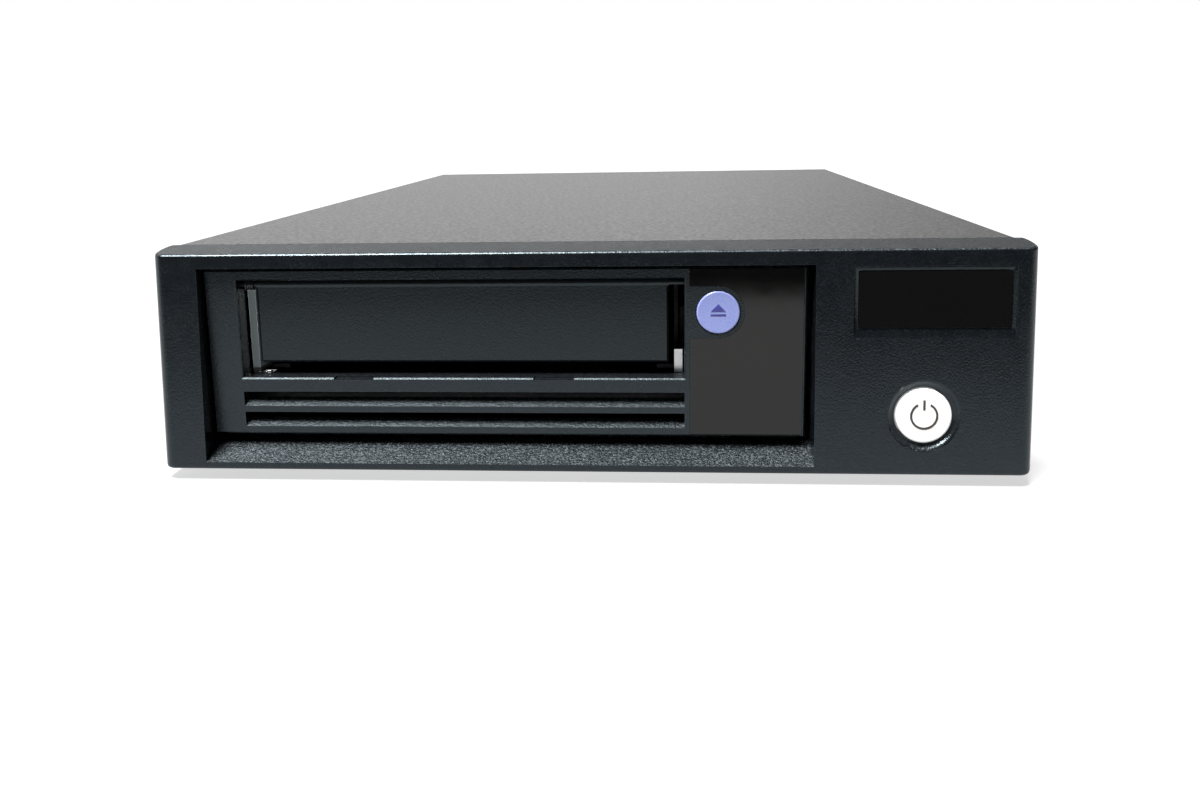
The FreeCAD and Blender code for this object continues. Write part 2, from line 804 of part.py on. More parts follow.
def base_tray():
    body = new_body("base_tray")
    high = tray_top + d.tray_flange
    wall = d.sheet_gauge
    profile = [(-flange_out, tray_z), (flange_out, tray_z), (flange_out, high), (flange_in, high),
               (flange_in, tray_top), (-flange_in, tray_top), (-flange_in, high), (-flange_out, high)]
    front_edge = bezel_back + d.cover_seam
    prism(body, "XZ_Plane", front_edge, rear_face, [profile])
    prism(body, "YZ_Plane", -flange_in + 8, flange_in - 8,
          [rectangle(front_edge, tray_top - 0.5, front_edge + wall, tray_top + 4)])
    slot = rectangle(-6, back - 110, 6, back - 107)
    vent = prism(body, "XY_Plane", tray_z - 1, tray_top + 1, [slot], cut=True)
    repeat(body, vent, "Y_Axis", 60, 10)
    holes = [(y, tray_top + 8, screw_hole) for y in (bezel_back + 7, back - 20)]
    prism(body, "YZ_Plane", -half, half, holes, cut=True)
    fold_holes = [(x, rear_in - 4, 1.02) for x in fold_screws_x]
    prism(body, "XY_Plane", tray_z - 1, tray_top + 1, fold_holes, cut=True)
    return body


def rubber_feet():
    x = half - d.foot_inset_x
    outer, height, dimple = d.foot_radius, tray_z, 0.25
    feet = []
    for foot_x in (-x, x):
        for foot_y in (front + d.foot_inset_y, back - d.foot_inset_y):
            foot = doc.addObject("PartDesign::Body", "foot")
            profile = [(0, dimple), (outer - 3.6, dimple), (outer - 3, 0), (outer - 1.4, 0),
                       (outer - 0.9, 0.25), (outer - 0.7, 0.7), (outer, height), (0, height)]
            spin(foot, "XZ_Plane", "V_Axis", [profile])
            place(foot, foot_x, foot_y, 0)
            feet.append(foot)
    group("rubber_feet", feet)


def case_screws():
    """The M3 screws that hold the cover, the tray and the drive's brackets."""
    screws = []
    spots = [(cover_half, y, tray_top + 8, 4.2) for y in (bezel_back + 7, back - 20)]
    for wall_x, y, z, length in spots:
        screws.append(screw("x", wall_x, y, z, screw_shank, length, screw_head, screw_flat, -1))
        screws.append(screw("x", -wall_x, y, z, screw_shank, length, screw_head, screw_flat))
    for y in bracket_holes_y:
        z = bracket_hole_z
        screws.append(screw("x", pan_left - d.bracket_gauge, y, z, screw_shank, 2.3, screw_head, screw_flat))
        screws.append(screw("x", pan_right + d.bracket_gauge, y, z, screw_shank, 2.3, screw_head,
                            screw_flat, -1))
    group("case_screws", screws)


def standoffs():
    """Threaded pillars under the three circuit boards."""
    pillars = list(pillar_spots)
    group("standoffs", [rod("z", x, y, base, 2.4, height) for x, y, base, height in pillars])


def rear_panel():
    body = new_body("rear_panel")
    low = tray_top
    high = roof_z - d.fold_gap
    fold = rear_in - 8
    profile = [(fold, low), (rear_face, low), (rear_face, high), (fold, high), (fold, high - d.sheet_gauge),
               (rear_in, high - d.sheet_gauge), (rear_in, low + d.sheet_gauge), (fold, low + d.sheet_gauge)]
    prism(body, "YZ_Plane", -panel_side, panel_side, [profile])
    fan_half = d.fan_size / 2
    pitch = fan_half - 4
    openings = [(fan_x, fan_z, fan_half - 1.5)]
    openings += [(fan_x + x * pitch, fan_z + z * pitch, size_of(screw_shank) + 0.05)
                 for x in (-1, 1) for z in (-1, 1)]
    openings.append(rectangle(inlet_x - inlet_half_x, inlet_z - inlet_half_z,
                              inlet_x + inlet_half_x, inlet_z + inlet_half_z))
    for x in port_places:
        openings.append(rectangle(x - port_half_x - 0.15, port_z - port_half_z - 0.15,
                                  x + port_half_x + 0.15, port_z + port_half_z + 0.15))
    prism(body, "XZ_Plane", rear_in - 1, back, openings, cut=True)
    fold_holes = [(x, rear_in - 4, 1.02) for x in fold_screws_x]
    prism(body, "XY_Plane", low - 1, low + 2, fold_holes, cut=True)
    vent_x = 9.47 - panel_side
    slot = rectangle(vent_x, roof_z - 19, vent_x + 2.5, roof_z - 7)
    vent = prism(body, "XZ_Plane", rear_in - 1, back, [slot], cut=True)
    repeat(body, vent, "X_Axis", 60, 13)
    return body


def small_screws():
    """The M2 screws of the rear panel's fold and the drive's lid."""
    screws = [screw("z", x, rear_in - 4, tray_z, 1.0, 1.9, 1.9, 1.0) for x in fold_screws_x]
    screws += [screw("z", x, y, pan_top + d.lid_gauge, 1.0, 2.0, 1.9, 1.0, -1)
               for x in lid_tabs_x for y in lid_tabs_y]
    group("small_screws", screws)


def fan():
    half_size = d.fan_size / 2
    start = rear_in - d.fan_depth
    body = new_body("fan_frame")
    square = rectangle(fan_x - half_size, fan_z - half_size, fan_x + half_size, fan_z + half_size)
    prism(body, "XZ_Plane", start, rear_in, [square])
    dress(body, "Fillet", 3, lambda edge: along(edge, "y"))
    prism(body, "XZ_Plane", start - 1, rear_in + 1, [(fan_x, fan_z, fan_bore)], cut=True)
    prism(body, "XZ_Plane", rear_in - 2.6, rear_in, [(fan_x, fan_z, fan_hub + 0.6)])
    for angle in (90, 210, 330):
        turn = math.radians(angle)
        dx, dz = math.cos(turn), math.sin(turn)
        inner, outer = fan_hub, fan_bore + 0.6
        spoke = [(fan_x + dx * inner + dz * 1.1, fan_z + dz * inner - dx * 1.1),
                 (fan_x + dx * outer + dz * 1.1, fan_z + dz * outer - dx * 1.1),
                 (fan_x + dx * outer - dz * 1.1, fan_z + dz * outer + dx * 1.1),
                 (fan_x + dx * inner - dz * 1.1, fan_z + dz * inner + dx * 1.1)]
        prism(body, "XZ_Plane", rear_in - 2.2, rear_in, [spoke])
    prism(body, "XZ_Plane", rear_in - 6, rear_in - 2, [(fan_x, fan_z, 2.0)])
    pitch = half_size - 4
    corner_holes = [(fan_x + x * pitch, fan_z + z * pitch, size_of(screw_shank) + 0.02)
                    for x in (-1, 1) for z in (-1, 1)]
    prism(body, "XZ_Plane", start - 1, rear_in + 1, corner_holes, cut=True)

    rotor = new_body("fan_rotor")
    depth = d.fan_depth - 4.4
    bore = size_of(2.0) + d.pin_fit
    cup = [(bore, 0), (fan_hub, 0), (fan_hub, depth), (bore, depth)]
    spin(rotor, "XZ_Plane", "V_Axis", [cup])
    sections = []
    for x, low_y, high_y, thick in ((fan_hub - 1, -3.6, 3.6, 1.2), (fan_bore - 1.6, -5.2, 5.2, 0.9)):
        sketch = sketch_on(rotor, "YZ_Plane", x)
        polygon(sketch, [(low_y, 1.2), (low_y + thick, 1.2),
                         (high_y, depth - 1), (high_y - thick, depth - 1)])
        sections.append(sketch)
    blade = rotor.newObject("PartDesign::AdditiveLoft", "blade")
    blade.Profile = sections[0]
    blade.Sections = [sections[1]]
    polar_row(rotor, blade, 7)
    rotor.Placement.Rotation = turned["y"]
    place(rotor, fan_x, start + 1, fan_z)

    wire = 0.75
    guard_y = rear_face + wire
    rings = [ring("y", fan_x, guard_y, fan_z, radius, wire) for radius in (6, 11.5, 17)]
    reach = pitch * math.sqrt(2) - 3.2
    spokes = []
    for angle in (45, 135, 225, 315):
        spoke = rod("x", fan_x, guard_y, fan_z, wire, reach)
        spoke.Placement.Rotation = FreeCAD.Rotation(V(0, 1, 0), 90 - angle)
        spokes.append(spoke)
    eyes = [ring("y", fan_x + x * pitch, guard_y, fan_z + z * pitch, 3.2, wire)
            for x in (-1, 1) for z in (-1, 1)]
    publish("fan_guard", fuse(*rings, *spokes, *eyes))
    screws = [screw("y", fan_x + x * pitch, rear_face, fan_z + z * pitch, screw_shank, 8, 2.3, 1.4, -1)
              for x in (-1, 1) for z in (-1, 1)]
    group("fan_screws", screws)


def power_inlet():
    body = new_body("power_inlet")
    x, z = inlet_x, inlet_z
    prism(body, "XZ_Plane", rear_in - 16, rear_face,
          [rectangle(x - inlet_half_x + 0.1, z - inlet_half_z + 0.1,
                     x + inlet_half_x - 0.1, z + inlet_half_z - 0.1)])
    prism(body, "XZ_Plane", rear_face, back, [rectangle(x - 15.2, z - 12, x + 15.2, z + 12)])
    wide, tall, slant = 12.2, 8.0, 4.2
    socket = [(x - wide, z - tall), (x + wide, z - tall), (x + wide, z + tall - slant),
              (x + wide - slant, z + tall), (x - wide + slant, z + tall), (x - wide, z + tall - slant)]
    prism(body, "XZ_Plane", rear_in - 14, back + 1, [socket], cut=True)
    for px, pz in ((-7, -1.5), (0, 2.5), (7, -1.5)):
        prism(body, "XZ_Plane", rear_in - 15, rear_face - 5,
              [rectangle(x + px - 1, z + pz - 2, x + px + 1, z + pz + 2)])


def sas_ports():
    cages = []
    for x in port_places:
        body = doc.addObject("PartDesign::Body", "cage")
        cages.append(body)
        cage = rectangle(x - port_half_x, port_z - port_half_z, x + port_half_x, port_z + port_half_z)
        prism(body, "XZ_Plane", rear_in - 24, back - 0.4, [cage])
        mouth = rectangle(x - port_half_x + 0.8, port_z - port_half_z + 0.8,
                          x + port_half_x - 0.8, port_z + port_half_z - 0.8)
        prism(body, "XZ_Plane", rear_in - 12, back + 1, [mouth], cut=True)
        prism(body, "XZ_Plane", rear_in - 13, rear_face - 5,
              [rectangle(x - port_half_x + 2.4, port_z - 0.8, x + port_half_x - 2.4, port_z + 0.8)])
    group("sas_ports", cages)
    publish("port_board", box(port_places[0] - 12, rear_in - 34, port_z - port_half_z - 1.6,
                              port_places[1] + 12, rear_in - 2, port_z - port_half_z))
    pillar_spots.extend((x, rear_in - y, tray_top, port_z - port_half_z - 1.6 - tray_top)
                        for x in (port_places[0] - 9, port_places[1] + 9) for y in (30, 12))


# ---------------------------------------------------------------- enclosure: power supply

def power_supply():
    left, right = supply_left, supply_right
    start, end = supply_front, supply_end
    board_z = tray_top + d.board_lift
    top = board_z + d.board_gauge
    supply_corners = [(x, y) for x in (left + 5, right - 5) for y in (start + 5, end - 5)]
    pillar_spots.extend((x, y, tray_top, d.board_lift) for x, y in supply_corners)
    publish("power_supply_board", box(left, start, board_z, right, end, top))
    fins = 6
    sink_length = d.fin_pitch * (fins - 1) + d.fin_gauge
    can_step = d.can_radius * 2 + d.can_gap
    first_sink = start + can_step * 2 + d.sink_gap
    core_y = first_sink + sink_length + d.sink_gap
    second_sink = core_y + d.core_length + d.sink_gap
    core_half = d.core_width / 2
    core_end = core_y + d.core_length
    core = box(supply_x - core_half, core_y, top, supply_x + core_half, core_end, top + d.core_height)
    winding = rod("z", supply_x, core_y + d.core_length / 2, top, d.winding_radius, d.winding_height)
    publish("transformer", fuse(core, winding))
    first_can = start + d.can_radius + d.can_gap
    can_places = (first_can, first_can + can_step)
    cans = [rod("z", supply_x, y, top, d.can_radius, d.can_height) for y in can_places]
    small_side = d.small_can_radius + d.can_gap / 2
    small_y = end - d.small_can_radius * 2 - d.can_gap
    cans += [rod("z", x, small_y, top, d.small_can_radius, d.small_can_height)
             for x in (supply_x - small_side, supply_x + small_side)]
    group("capacitors", cans)
    sinks = []
    for y in (first_sink, second_sink):
        sink = doc.addObject("PartDesign::Body", "sink")
        comb = [(y, top), (y + sink_length, top)]
        for fin in range(fins - 1, -1, -1):
            edge = y + fin * d.fin_pitch
            comb += [(edge + d.fin_gauge, top + d.sink_height), (edge, top + d.sink_height)]
            if fin:
                comb += [(edge, top + d.sink_base), (edge - d.fin_pitch + d.fin_gauge, top + d.sink_base)]
        prism(sink, "YZ_Plane", left + 4, right - 4, [comb])
        sinks.append(sink)
    group("heat_sinks", sinks)


# ---------------------------------------------------------------- drive: front

def window_outline(gap, notch):
    left, right = window_left + gap, window_right - gap
    low = drive_z + d.window_rise + gap
    high = drive_z + d.window_rise + d.window_height - gap
    return [(left, low), (right, low), (right, high), (left, high), (left, eject_z + notch),
            (eject_x, eject_z + notch, (eject_x, eject_z), True), (eject_x, eject_z - notch),
            (left, eject_z - notch)]


def drive_bezel():
    body = new_body("drive_bezel")
    left, right = drive_left, drive_right
    low, high = drive_z, drive_z + d.drive_bezel_height
    rim = d.drive_rim_wall
    prism(body, "XZ_Plane", drive_face, pan_front, [rectangle(left, low, right, high)])
    dress(body, "Chamfer", 0.4, lambda edge: edge.BoundBox.YMax < drive_face.value + 0.1)
    hollow_y = drive_face + d.drive_face_wall
    hollow = [(left + rim, low + rim), (right - rim, low + rim), (right - rim, high - rim),
              (mouth_right + rim, high - rim), (mouth_right + rim, mouth_z - rim),
              (mouth_left - rim, mouth_z - rim), (mouth_left - rim, high - rim), (left + rim, high - rim)]
    prism(body, "XZ_Plane", hollow_y, pan_front + 1, [hollow], cut=True)
    mouth = rectangle(mouth_left, mouth_z, mouth_right, mouth_top)
    prism(body, "XZ_Plane", drive_face - 1, pan_front + 1, [mouth], cut=True)
    dress(body, "Chamfer", 0.35, lambda edge: edge.BoundBox.YMax < drive_face.value + 0.01
          and edge.BoundBox.XMin > mouth_left.value - 0.1 and edge.BoundBox.XMax < mouth_right.value + 0.1
          and edge.BoundBox.ZMin > mouth_z.value - 0.1)
    for middle in (mouth_x - 27, mouth_x + 23.4):
        notch = rectangle(middle - d.lip_notch / 2, mouth_z - 0.5, middle + d.lip_notch / 2, mouth_z + 0.5)
        prism(body, "XZ_Plane", drive_face - 1, drive_face + 2.4, [notch], cut=True)
    for rise in (d.louvre_low, d.louvre_high):
        sill = drive_z + rise
        floor = sill + d.louvre_slope
        slot = [(drive_face - 0.5, sill - 0.5 * d.louvre_slope / d.louvre_depth),
                (drive_face + d.louvre_depth, floor), (pan_front + 1, floor),
                (pan_front + 1, sill + d.louvre_height), (drive_face - 0.5, sill + d.louvre_height)]
        prism(body, "YZ_Plane", mouth_left, mouth_right, [slot], cut=True)
    seat = window_outline(size_of(0), d.notch_radius - d.window_gap)
    prism(body, "XZ_Plane", drive_face - 1, drive_face + d.window_gauge, [seat], cut=True)
    bore = (eject_x, eject_z, d.eject_radius + d.button_gap)
    prism(body, "XZ_Plane", drive_face - 1, pan_front + 1, [bore], cut=True)
    hook_gap, hook_gauge, hook_reach, barb = 0.25, 1.3, 4.6, 0.15
    for side, wall_x in ((1, pan_left + d.pan_gauge), (-1, pan_right - d.pan_gauge)):
        outer = wall_x + side * hook_gap
        inner = outer + side * hook_gauge
        nose = outer - side * barb
        for rise in (3.0, 9.5):
            hook = [(outer, hollow_y - 0.2), (inner, hollow_y - 0.2), (inner, pan_front + hook_reach),
                    (outer, pan_front + hook_reach), (nose, pan_front + hook_reach - 1.4),
                    (outer, pan_front + hook_reach - 2.2)]
            prism(body, "XY_Plane", pan_floor + rise, pan_floor + rise + 4, [hook])
    pin_bore = (hinge_y, hinge_z, d.hinge_pin + d.pin_fit)
    prism(body, "YZ_Plane", mouth_left - rim - 1, mouth_right + rim + 1, [pin_bore], cut=True)
    return body


def display_window():
    body = new_body("display_window")
    outline = window_outline(d.window_gap, d.notch_radius)
    prism(body, "XZ_Plane", drive_face, drive_face + d.window_gauge, [outline])
    return body


def eject_button():
    body = new_body("eject_button")
    x, z = eject_x, eject_z
    proud = 0.5
    cap_front = drive_face - proud
    prism(body, "XZ_Plane", cap_front, cap_front + d.eject_length, [(x, z, d.eject_radius)])
    dress(body, "Fillet", 0.4, lambda edge: edge.BoundBox.YMax < drive_face.value)
    collar_y = drive_face + d.drive_face_wall + 0.1
    prism(body, "XZ_Plane", collar_y, collar_y + 0.9, [(x, z, d.eject_radius + 1)])
    prism(body, "XZ_Plane", collar_y + 0.5, collar_y + 2.6, [(x, z, 1.6)])
    return body


def display_board():
    x = (window_left + window_right) / 2
    y = pan_front + 2.2
    left = mouth_x + cart_half + guide_fold + 2.67
    plate = box(left, y, drive_z + 3, window_right - 3.6, y + 1.2, drive_z + 38)
    switch = box(eject_x - 2.5, y - 1.0, eject_z - 2.5, eject_x + 2.5, y + 0.1, eject_z + 2.5)
    lamps = [box(x, y - 1.4, drive_z + rise, x + 2, y + 0.1, drive_z + rise + 2) for rise in (8, 14, 20)]
    publish("display_board", fuse(plate, switch, *lamps))


def cartridge_door():
    body = new_body("cartridge_door")
    half_width = d.door_width / 2
    near, far = hinge_y - d.door_gauge / 2, hinge_y + d.door_gauge / 2
    low = hinge_z - d.door_drop
    plate = [(near, low + 0.5), (near + 0.5, low), (far, low), (far, hinge_z), (near, hinge_z)]
    prism(body, "YZ_Plane", mouth_x - half_width, mouth_x + half_width, [plate])
    dress(body, "Chamfer", 0.45, lambda edge: along(edge, "z") and edge.BoundBox.YMax < near.value + 0.1)
    prism(body, "YZ_Plane", mouth_x - half_width, mouth_x + half_width, [(hinge_y, hinge_z, d.hinge_radius)])
    rib_depth, rib_gauge, cheek_depth = 1.2, 1.0, 1.4
    rib = rectangle(far - 0.1, low + 1.5, far + rib_depth, hinge_z - 4)
    span = half_width * 2 - rib_gauge
    first = mouth_x - half_width + span / 5
    upright = prism(body, "YZ_Plane", first, first + rib_gauge, [rib])
    repeat(body, upright, "X_Axis", span * 3 / 5, 4)
    cheek = [(far - 0.1, low + 0.6), (far + cheek_depth, low + 1.8), (far + cheek_depth, hinge_z - 3.2),
             (far - 0.1, hinge_z - 1.8)]
    for end_x in (mouth_x - half_width, mouth_x + half_width - rib_gauge):
        prism(body, "YZ_Plane", end_x, end_x + rib_gauge, [cheek])
    reach = half_width + d.door_side_gap + d.drive_rim_wall - 0.2
    prism(body, "YZ_Plane", mouth_x - reach, mouth_x + reach, [(hinge_y, hinge_z, d.hinge_pin)])
    return body


# ---------------------------------------------------------------- drive: chassis

def drive_pan():
    body = new_body("drive_pan")
    gauge = d.pan_gauge
    profile = [(pan_left, pan_z), (pan_right, pan_z), (pan_right, pan_top), (pan_right - gauge, pan_top),
               (pan_right - gauge, pan_floor), (pan_left + gauge, pan_floor), (pan_left + gauge, pan_top),
               (pan_left, pan_top)]
    prism(body, "XZ_Plane", pan_front, pan_back, [profile])
    prism(body, "XZ_Plane", pan_back - gauge, pan_back,
          [rectangle(pan_left + gauge / 2, pan_floor - gauge / 2, pan_right - gauge / 2, pan_top)])
    prism(body, "XZ_Plane", pan_back - 4, pan_back + 1,
          [rectangle(socket_x - socket_half - 0.3, board_top - 0.3,
                     socket_x + socket_half + 0.3, board_top + 6.3)], cut=True)
    tabs = []
    for x in lid_tabs_x:
        for y in lid_tabs_y:
            inner = rectangle(x - 2.4, y - 3.5, x + 2.4, y + 3.5)
            tabs.append(inner)
    prism(body, "XY_Plane", pan_top - gauge, pan_top, tabs)
    holes = [(x, y, 1.02) for x in lid_tabs_x for y in lid_tabs_y]
    prism(body, "XY_Plane", pan_top - gauge - 1, pan_top + 1, holes, cut=True)
    sides = [(y, bracket_hole_z, size_of(screw_shank) + 0.02) for y in bracket_holes_y]
    prism(body, "YZ_Plane", pan_left - 1, pan_right + 1, sides, cut=True)
    return body


def drive_lid():
    body = new_body("drive_lid")
    sheet = rectangle(pan_left, pan_front, pan_right, pan_back)
    prism(body, "XY_Plane", pan_top, pan_top + d.lid_gauge, [sheet])
    panel = rectangle(pan_left + 14, pan_front + 24, pan_right - 14, pan_back - 20)
    prism(body, "XY_Plane", pan_top + d.lid_gauge - 0.3, pan_top + d.lid_gauge + 1, [panel], cut=True)
    holes = [(x, y, 1.1) for x in lid_tabs_x for y in lid_tabs_y]
    prism(body, "XY_Plane", pan_top - 1, pan_top + 2, holes, cut=True)
    return body


def drive_brackets():
    gauge, foot = d.bracket_gauge, d.bracket_foot
    for name, wall_x, sign in (("drive_bracket_left", pan_left, -1), ("drive_bracket_right", pan_right, 1)):
        body = new_body(name)
        edges = sorted((wall_x, wall_x + gauge * sign), key=lambda size: size.value)
        ends = sorted((wall_x, wall_x + foot * sign), key=lambda size: size.value)
        y0, y1 = bracket_holes_y[0] - d.bracket_tail, bracket_holes_y[1] + d.bracket_tail
        prism(body, "XY_Plane", tray_top, bracket_hole_z + 6, [rectangle(edges[0], y0, edges[1], y1)])
        prism(body, "XY_Plane", tray_top, tray_top + gauge, [rectangle(ends[0], y0, ends[1], y1)])
        sides = [(y, bracket_hole_z, size_of(screw_shank) + 0.02) for y in bracket_holes_y]
        prism(body, "YZ_Plane", ends[0] - 1, ends[1] + 1, sides, cut=True)
        holes = [(wall_x + 4.4 * sign, y, screw_hole) for y in bracket_holes_y]
        prism(body, "XY_Plane", tray_top - 1, tray_top + 3, holes, cut=True)


def drive_deck():
    body = new_body("drive_deck")
    left = pan_left + d.pan_gauge + 0.2
    right = pan_right - d.pan_gauge - 0.2
    leg = 3.5
    profile = [(left, pan_floor), (left + leg, pan_floor), (left + leg, deck_z), (right - leg, deck_z),
               (right - leg, pan_floor), (right, pan_floor), (right, deck_top), (left, deck_top)]
    prism(body, "XZ_Plane", pan_front + 5, pan_back - 4, [profile])
    for x in (sled_left - d.sled_gap - 1.4, sled_right + d.sled_gap):
        guide = rectangle(x, pan_front + 20, x + 1.4, tray_back - 6.2)
        prism(body, "XY_Plane", deck_top - 0.5, deck_top + 0.6, [guide])
    bores = [(hub_x, hub_y, d.shaft_radius + d.pin_fit), (reel_x, reel_y, d.shaft_radius + d.pin_fit)]
    prism(body, "XY_Plane", deck_z - 1, deck_top + 1, bores, cut=True)
    notch = rectangle(socket_x - socket_half - 0.6, pan_back - 8.6, socket_x + socket_half + 0.6, pan_back)
    prism(body, "XY_Plane", deck_z - 1, deck_top + 1, [notch], cut=True)
    return body


def reel_motors():
    low = pan_floor + 0.4
    stators = [cut(rod("z", x, y, low, d.motor_radius, deck_z - low),
                    rod("z", x, y, low - 1, d.motor_bore, deck_z - low + 2))
               for x, y in ((hub_x, hub_y), (reel_x, reel_y))]
    group("reel_motors", stators)


def main_board():
    body = new_body("main_board")
    left = pan_left + d.pan_gauge + 4.4
    right = pan_right - d.pan_gauge - 4.4
    start = hub_y + 26
    end = pan_back - 3
    prism(body, "XY_Plane", board_top - 1.4, board_top, [rectangle(left, start, right, end)])
    prism(body, "XY_Plane", board_top - 2, board_top + 1, [(reel_x, reel_y, 22.5)], cut=True)
    chips = [rectangle(x, y, x + size, y + size) for x, y, size in
             ((right - 38.9, start + 21, 16), (right - 32.9, start + 53, 20), (right - 64.9, end - 21.2, 12),
              (left + 7.9, start + 13, 14), (right - 10.9, end - 25.2, 8))]
    prism(body, "XY_Plane", board_top - 0.5, board_top + 1.1, chips)
    pillar_spots.extend((x, y, pan_floor, board_top - 1.4 - pan_floor)
                        for x in (left + 4, right - 4) for y in (start + 6, pan_back - 12))
    socket = box(socket_x - socket_half, pan_back - 8, board_top,
                 socket_x + socket_half, pan_back + 1.5, board_top + 5.8)
    tongue_gap = box(socket_x - socket_half + 2, pan_back - 3, board_top + 1.4,
                     socket_x + socket_half - 2, pan_back + 2, board_top + 4.4)
    publish("drive_connector", cut(socket, tongue_gap))


# ---------------------------------------------------------------- drive: loading mechanism

def entry_guides():
    inner = mouth_x - cart_half
    y = pan_front + 0.2
    low, high = cart_z, hinge_z - 1.6
    plate = box(inner - 0.8, y, low, inner, y + 8, high)
    front_fold = box(inner - guide_fold, y, low, inner, y + 0.8, high)
    step = box(inner - guide_fold, y, low - 2.4, inner - 0.8, y + 0.8, low + 1)
    lead = box(inner - guide_fold, y, low - 2.4, inner + 1.2, y + 8.2, low - 1.6)
    publish("entry_guide", fuse(plate, front_fold, step, lead))
    inner = mouth_x + cart_half
    plate = box(inner, y, low - 0.2, inner + 0.8, y + 8, low + 5.6)
    front_fold = box(inner, y, low - 0.2, inner + guide_fold, y + 0.8, low + 5.6)
    publish("entry_clip", fuse(plate, front_fold))


def cartridge_tray():
    body = new_body("cartridge_tray")
    gauge = d.tray_gauge
    left, right = mouth_x - cart_half, mouth_x + cart_half
    low = cart_z - 0.2
    high = cart_z + d.cartridge_height + 0.6
    lip = d.tray_lip
    profile = [(left - gauge, low - gauge), (left + lip, low - gauge), (left + lip, low), (left, low),
               (left, high), (right, high), (right, low), (right - lip, low), (right - lip, low - gauge),
               (right + gauge, low - gauge), (right + gauge, high + gauge), (left - gauge, high + gauge)]
    start = tray_front
    prism(body, "XZ_Plane", start, tray_back, [profile])
    swing = hinge_y + d.door_drop + 3
    prism(body, "XY_Plane", high - 1, high + 3, [rectangle(left - 3, start - 1, right + 3, swing)], cut=True)
    post = 3.0
    windows = [rectangle(x0, start + 26, x1, tray_back - 12)
               for x0, x1 in ((left + 10, mouth_x - post), (mouth_x + post, right - 10))]
    prism(body, "XY_Plane", high - 1, high + 3, windows, cut=True)
    pins = [(y, pin_z, d.tray_pin) for y in (start + 14, tray_back - 14)]
    prism(body, "YZ_Plane", left - gauge - 1.8, left - gauge / 2, pins)
    prism(body, "YZ_Plane", right + gauge / 2, right + gauge + 1.8, pins)
    return body


def loader_sled():
    body = new_body("loader_sled")
    start = tray_front + 4
    end = tray_back - 2
    low = deck_top + 0.3
    high = pin_z + 6
    plate = [rectangle(sled_left, start, sled_left + d.sled_gauge, end),
             rectangle(sled_right - d.sled_gauge, start, sled_right, end)]
    prism(body, "XY_Plane", low, high, plate)
    bar_y = tray_back + 0.6
    bar_end = bar_y + 2.5
    inner_left, inner_right = sled_left + d.sled_gauge, sled_right - d.sled_gauge
    yoke = [(sled_left, end - 2), (inner_left, end - 2), (inner_left, bar_y), (inner_right, bar_y),
            (inner_right, end - 2), (sled_right, end - 2), (sled_right, bar_end), (sled_left, bar_end)]
    prism(body, "XY_Plane", low, low + 2.4, [yoke])
    slots = [rectangle(y - d.tray_pin - 0.3, pin_z - d.drop_travel - d.tray_pin - 0.4,
                       y + d.tray_pin + 0.3, pin_z + d.tray_pin + 0.4)
             for y in (tray_front + 14, tray_back - 14)]
    prism(body, "YZ_Plane", sled_left - 1, sled_right + 1, slots, cut=True)
    strip_low, strip_high = low + rack_lift, low + rack_lift + rack_height
    root_x = rack_x - d.tooth_root
    strip_start = pinion_y - rack_pitch * rack_lead
    strip_end = strip_start + rack_pitch * rack_teeth
    prism(body, "XY_Plane", strip_low, strip_high,
          [rectangle(sled_right - d.sled_gauge / 2, strip_start, root_x, strip_end)])
    flank = d.tooth_half + d.tooth_root * tooth_slope
    crest = d.tooth_half - d.tooth_tip * tooth_slope
    middle = strip_start + rack_pitch / 2
    tip_x = rack_x + d.tooth_tip
    tooth = [(root_x - 0.1, middle - flank), (root_x, middle - flank), (tip_x, middle - crest),
             (tip_x, middle + crest), (root_x, middle + flank), (root_x - 0.1, middle + flank)]
    first = prism(body, "XY_Plane", strip_low, strip_high, [tooth])
    repeat(body, first, "Y_Axis", rack_pitch * (rack_teeth - 1), rack_teeth)
    return body


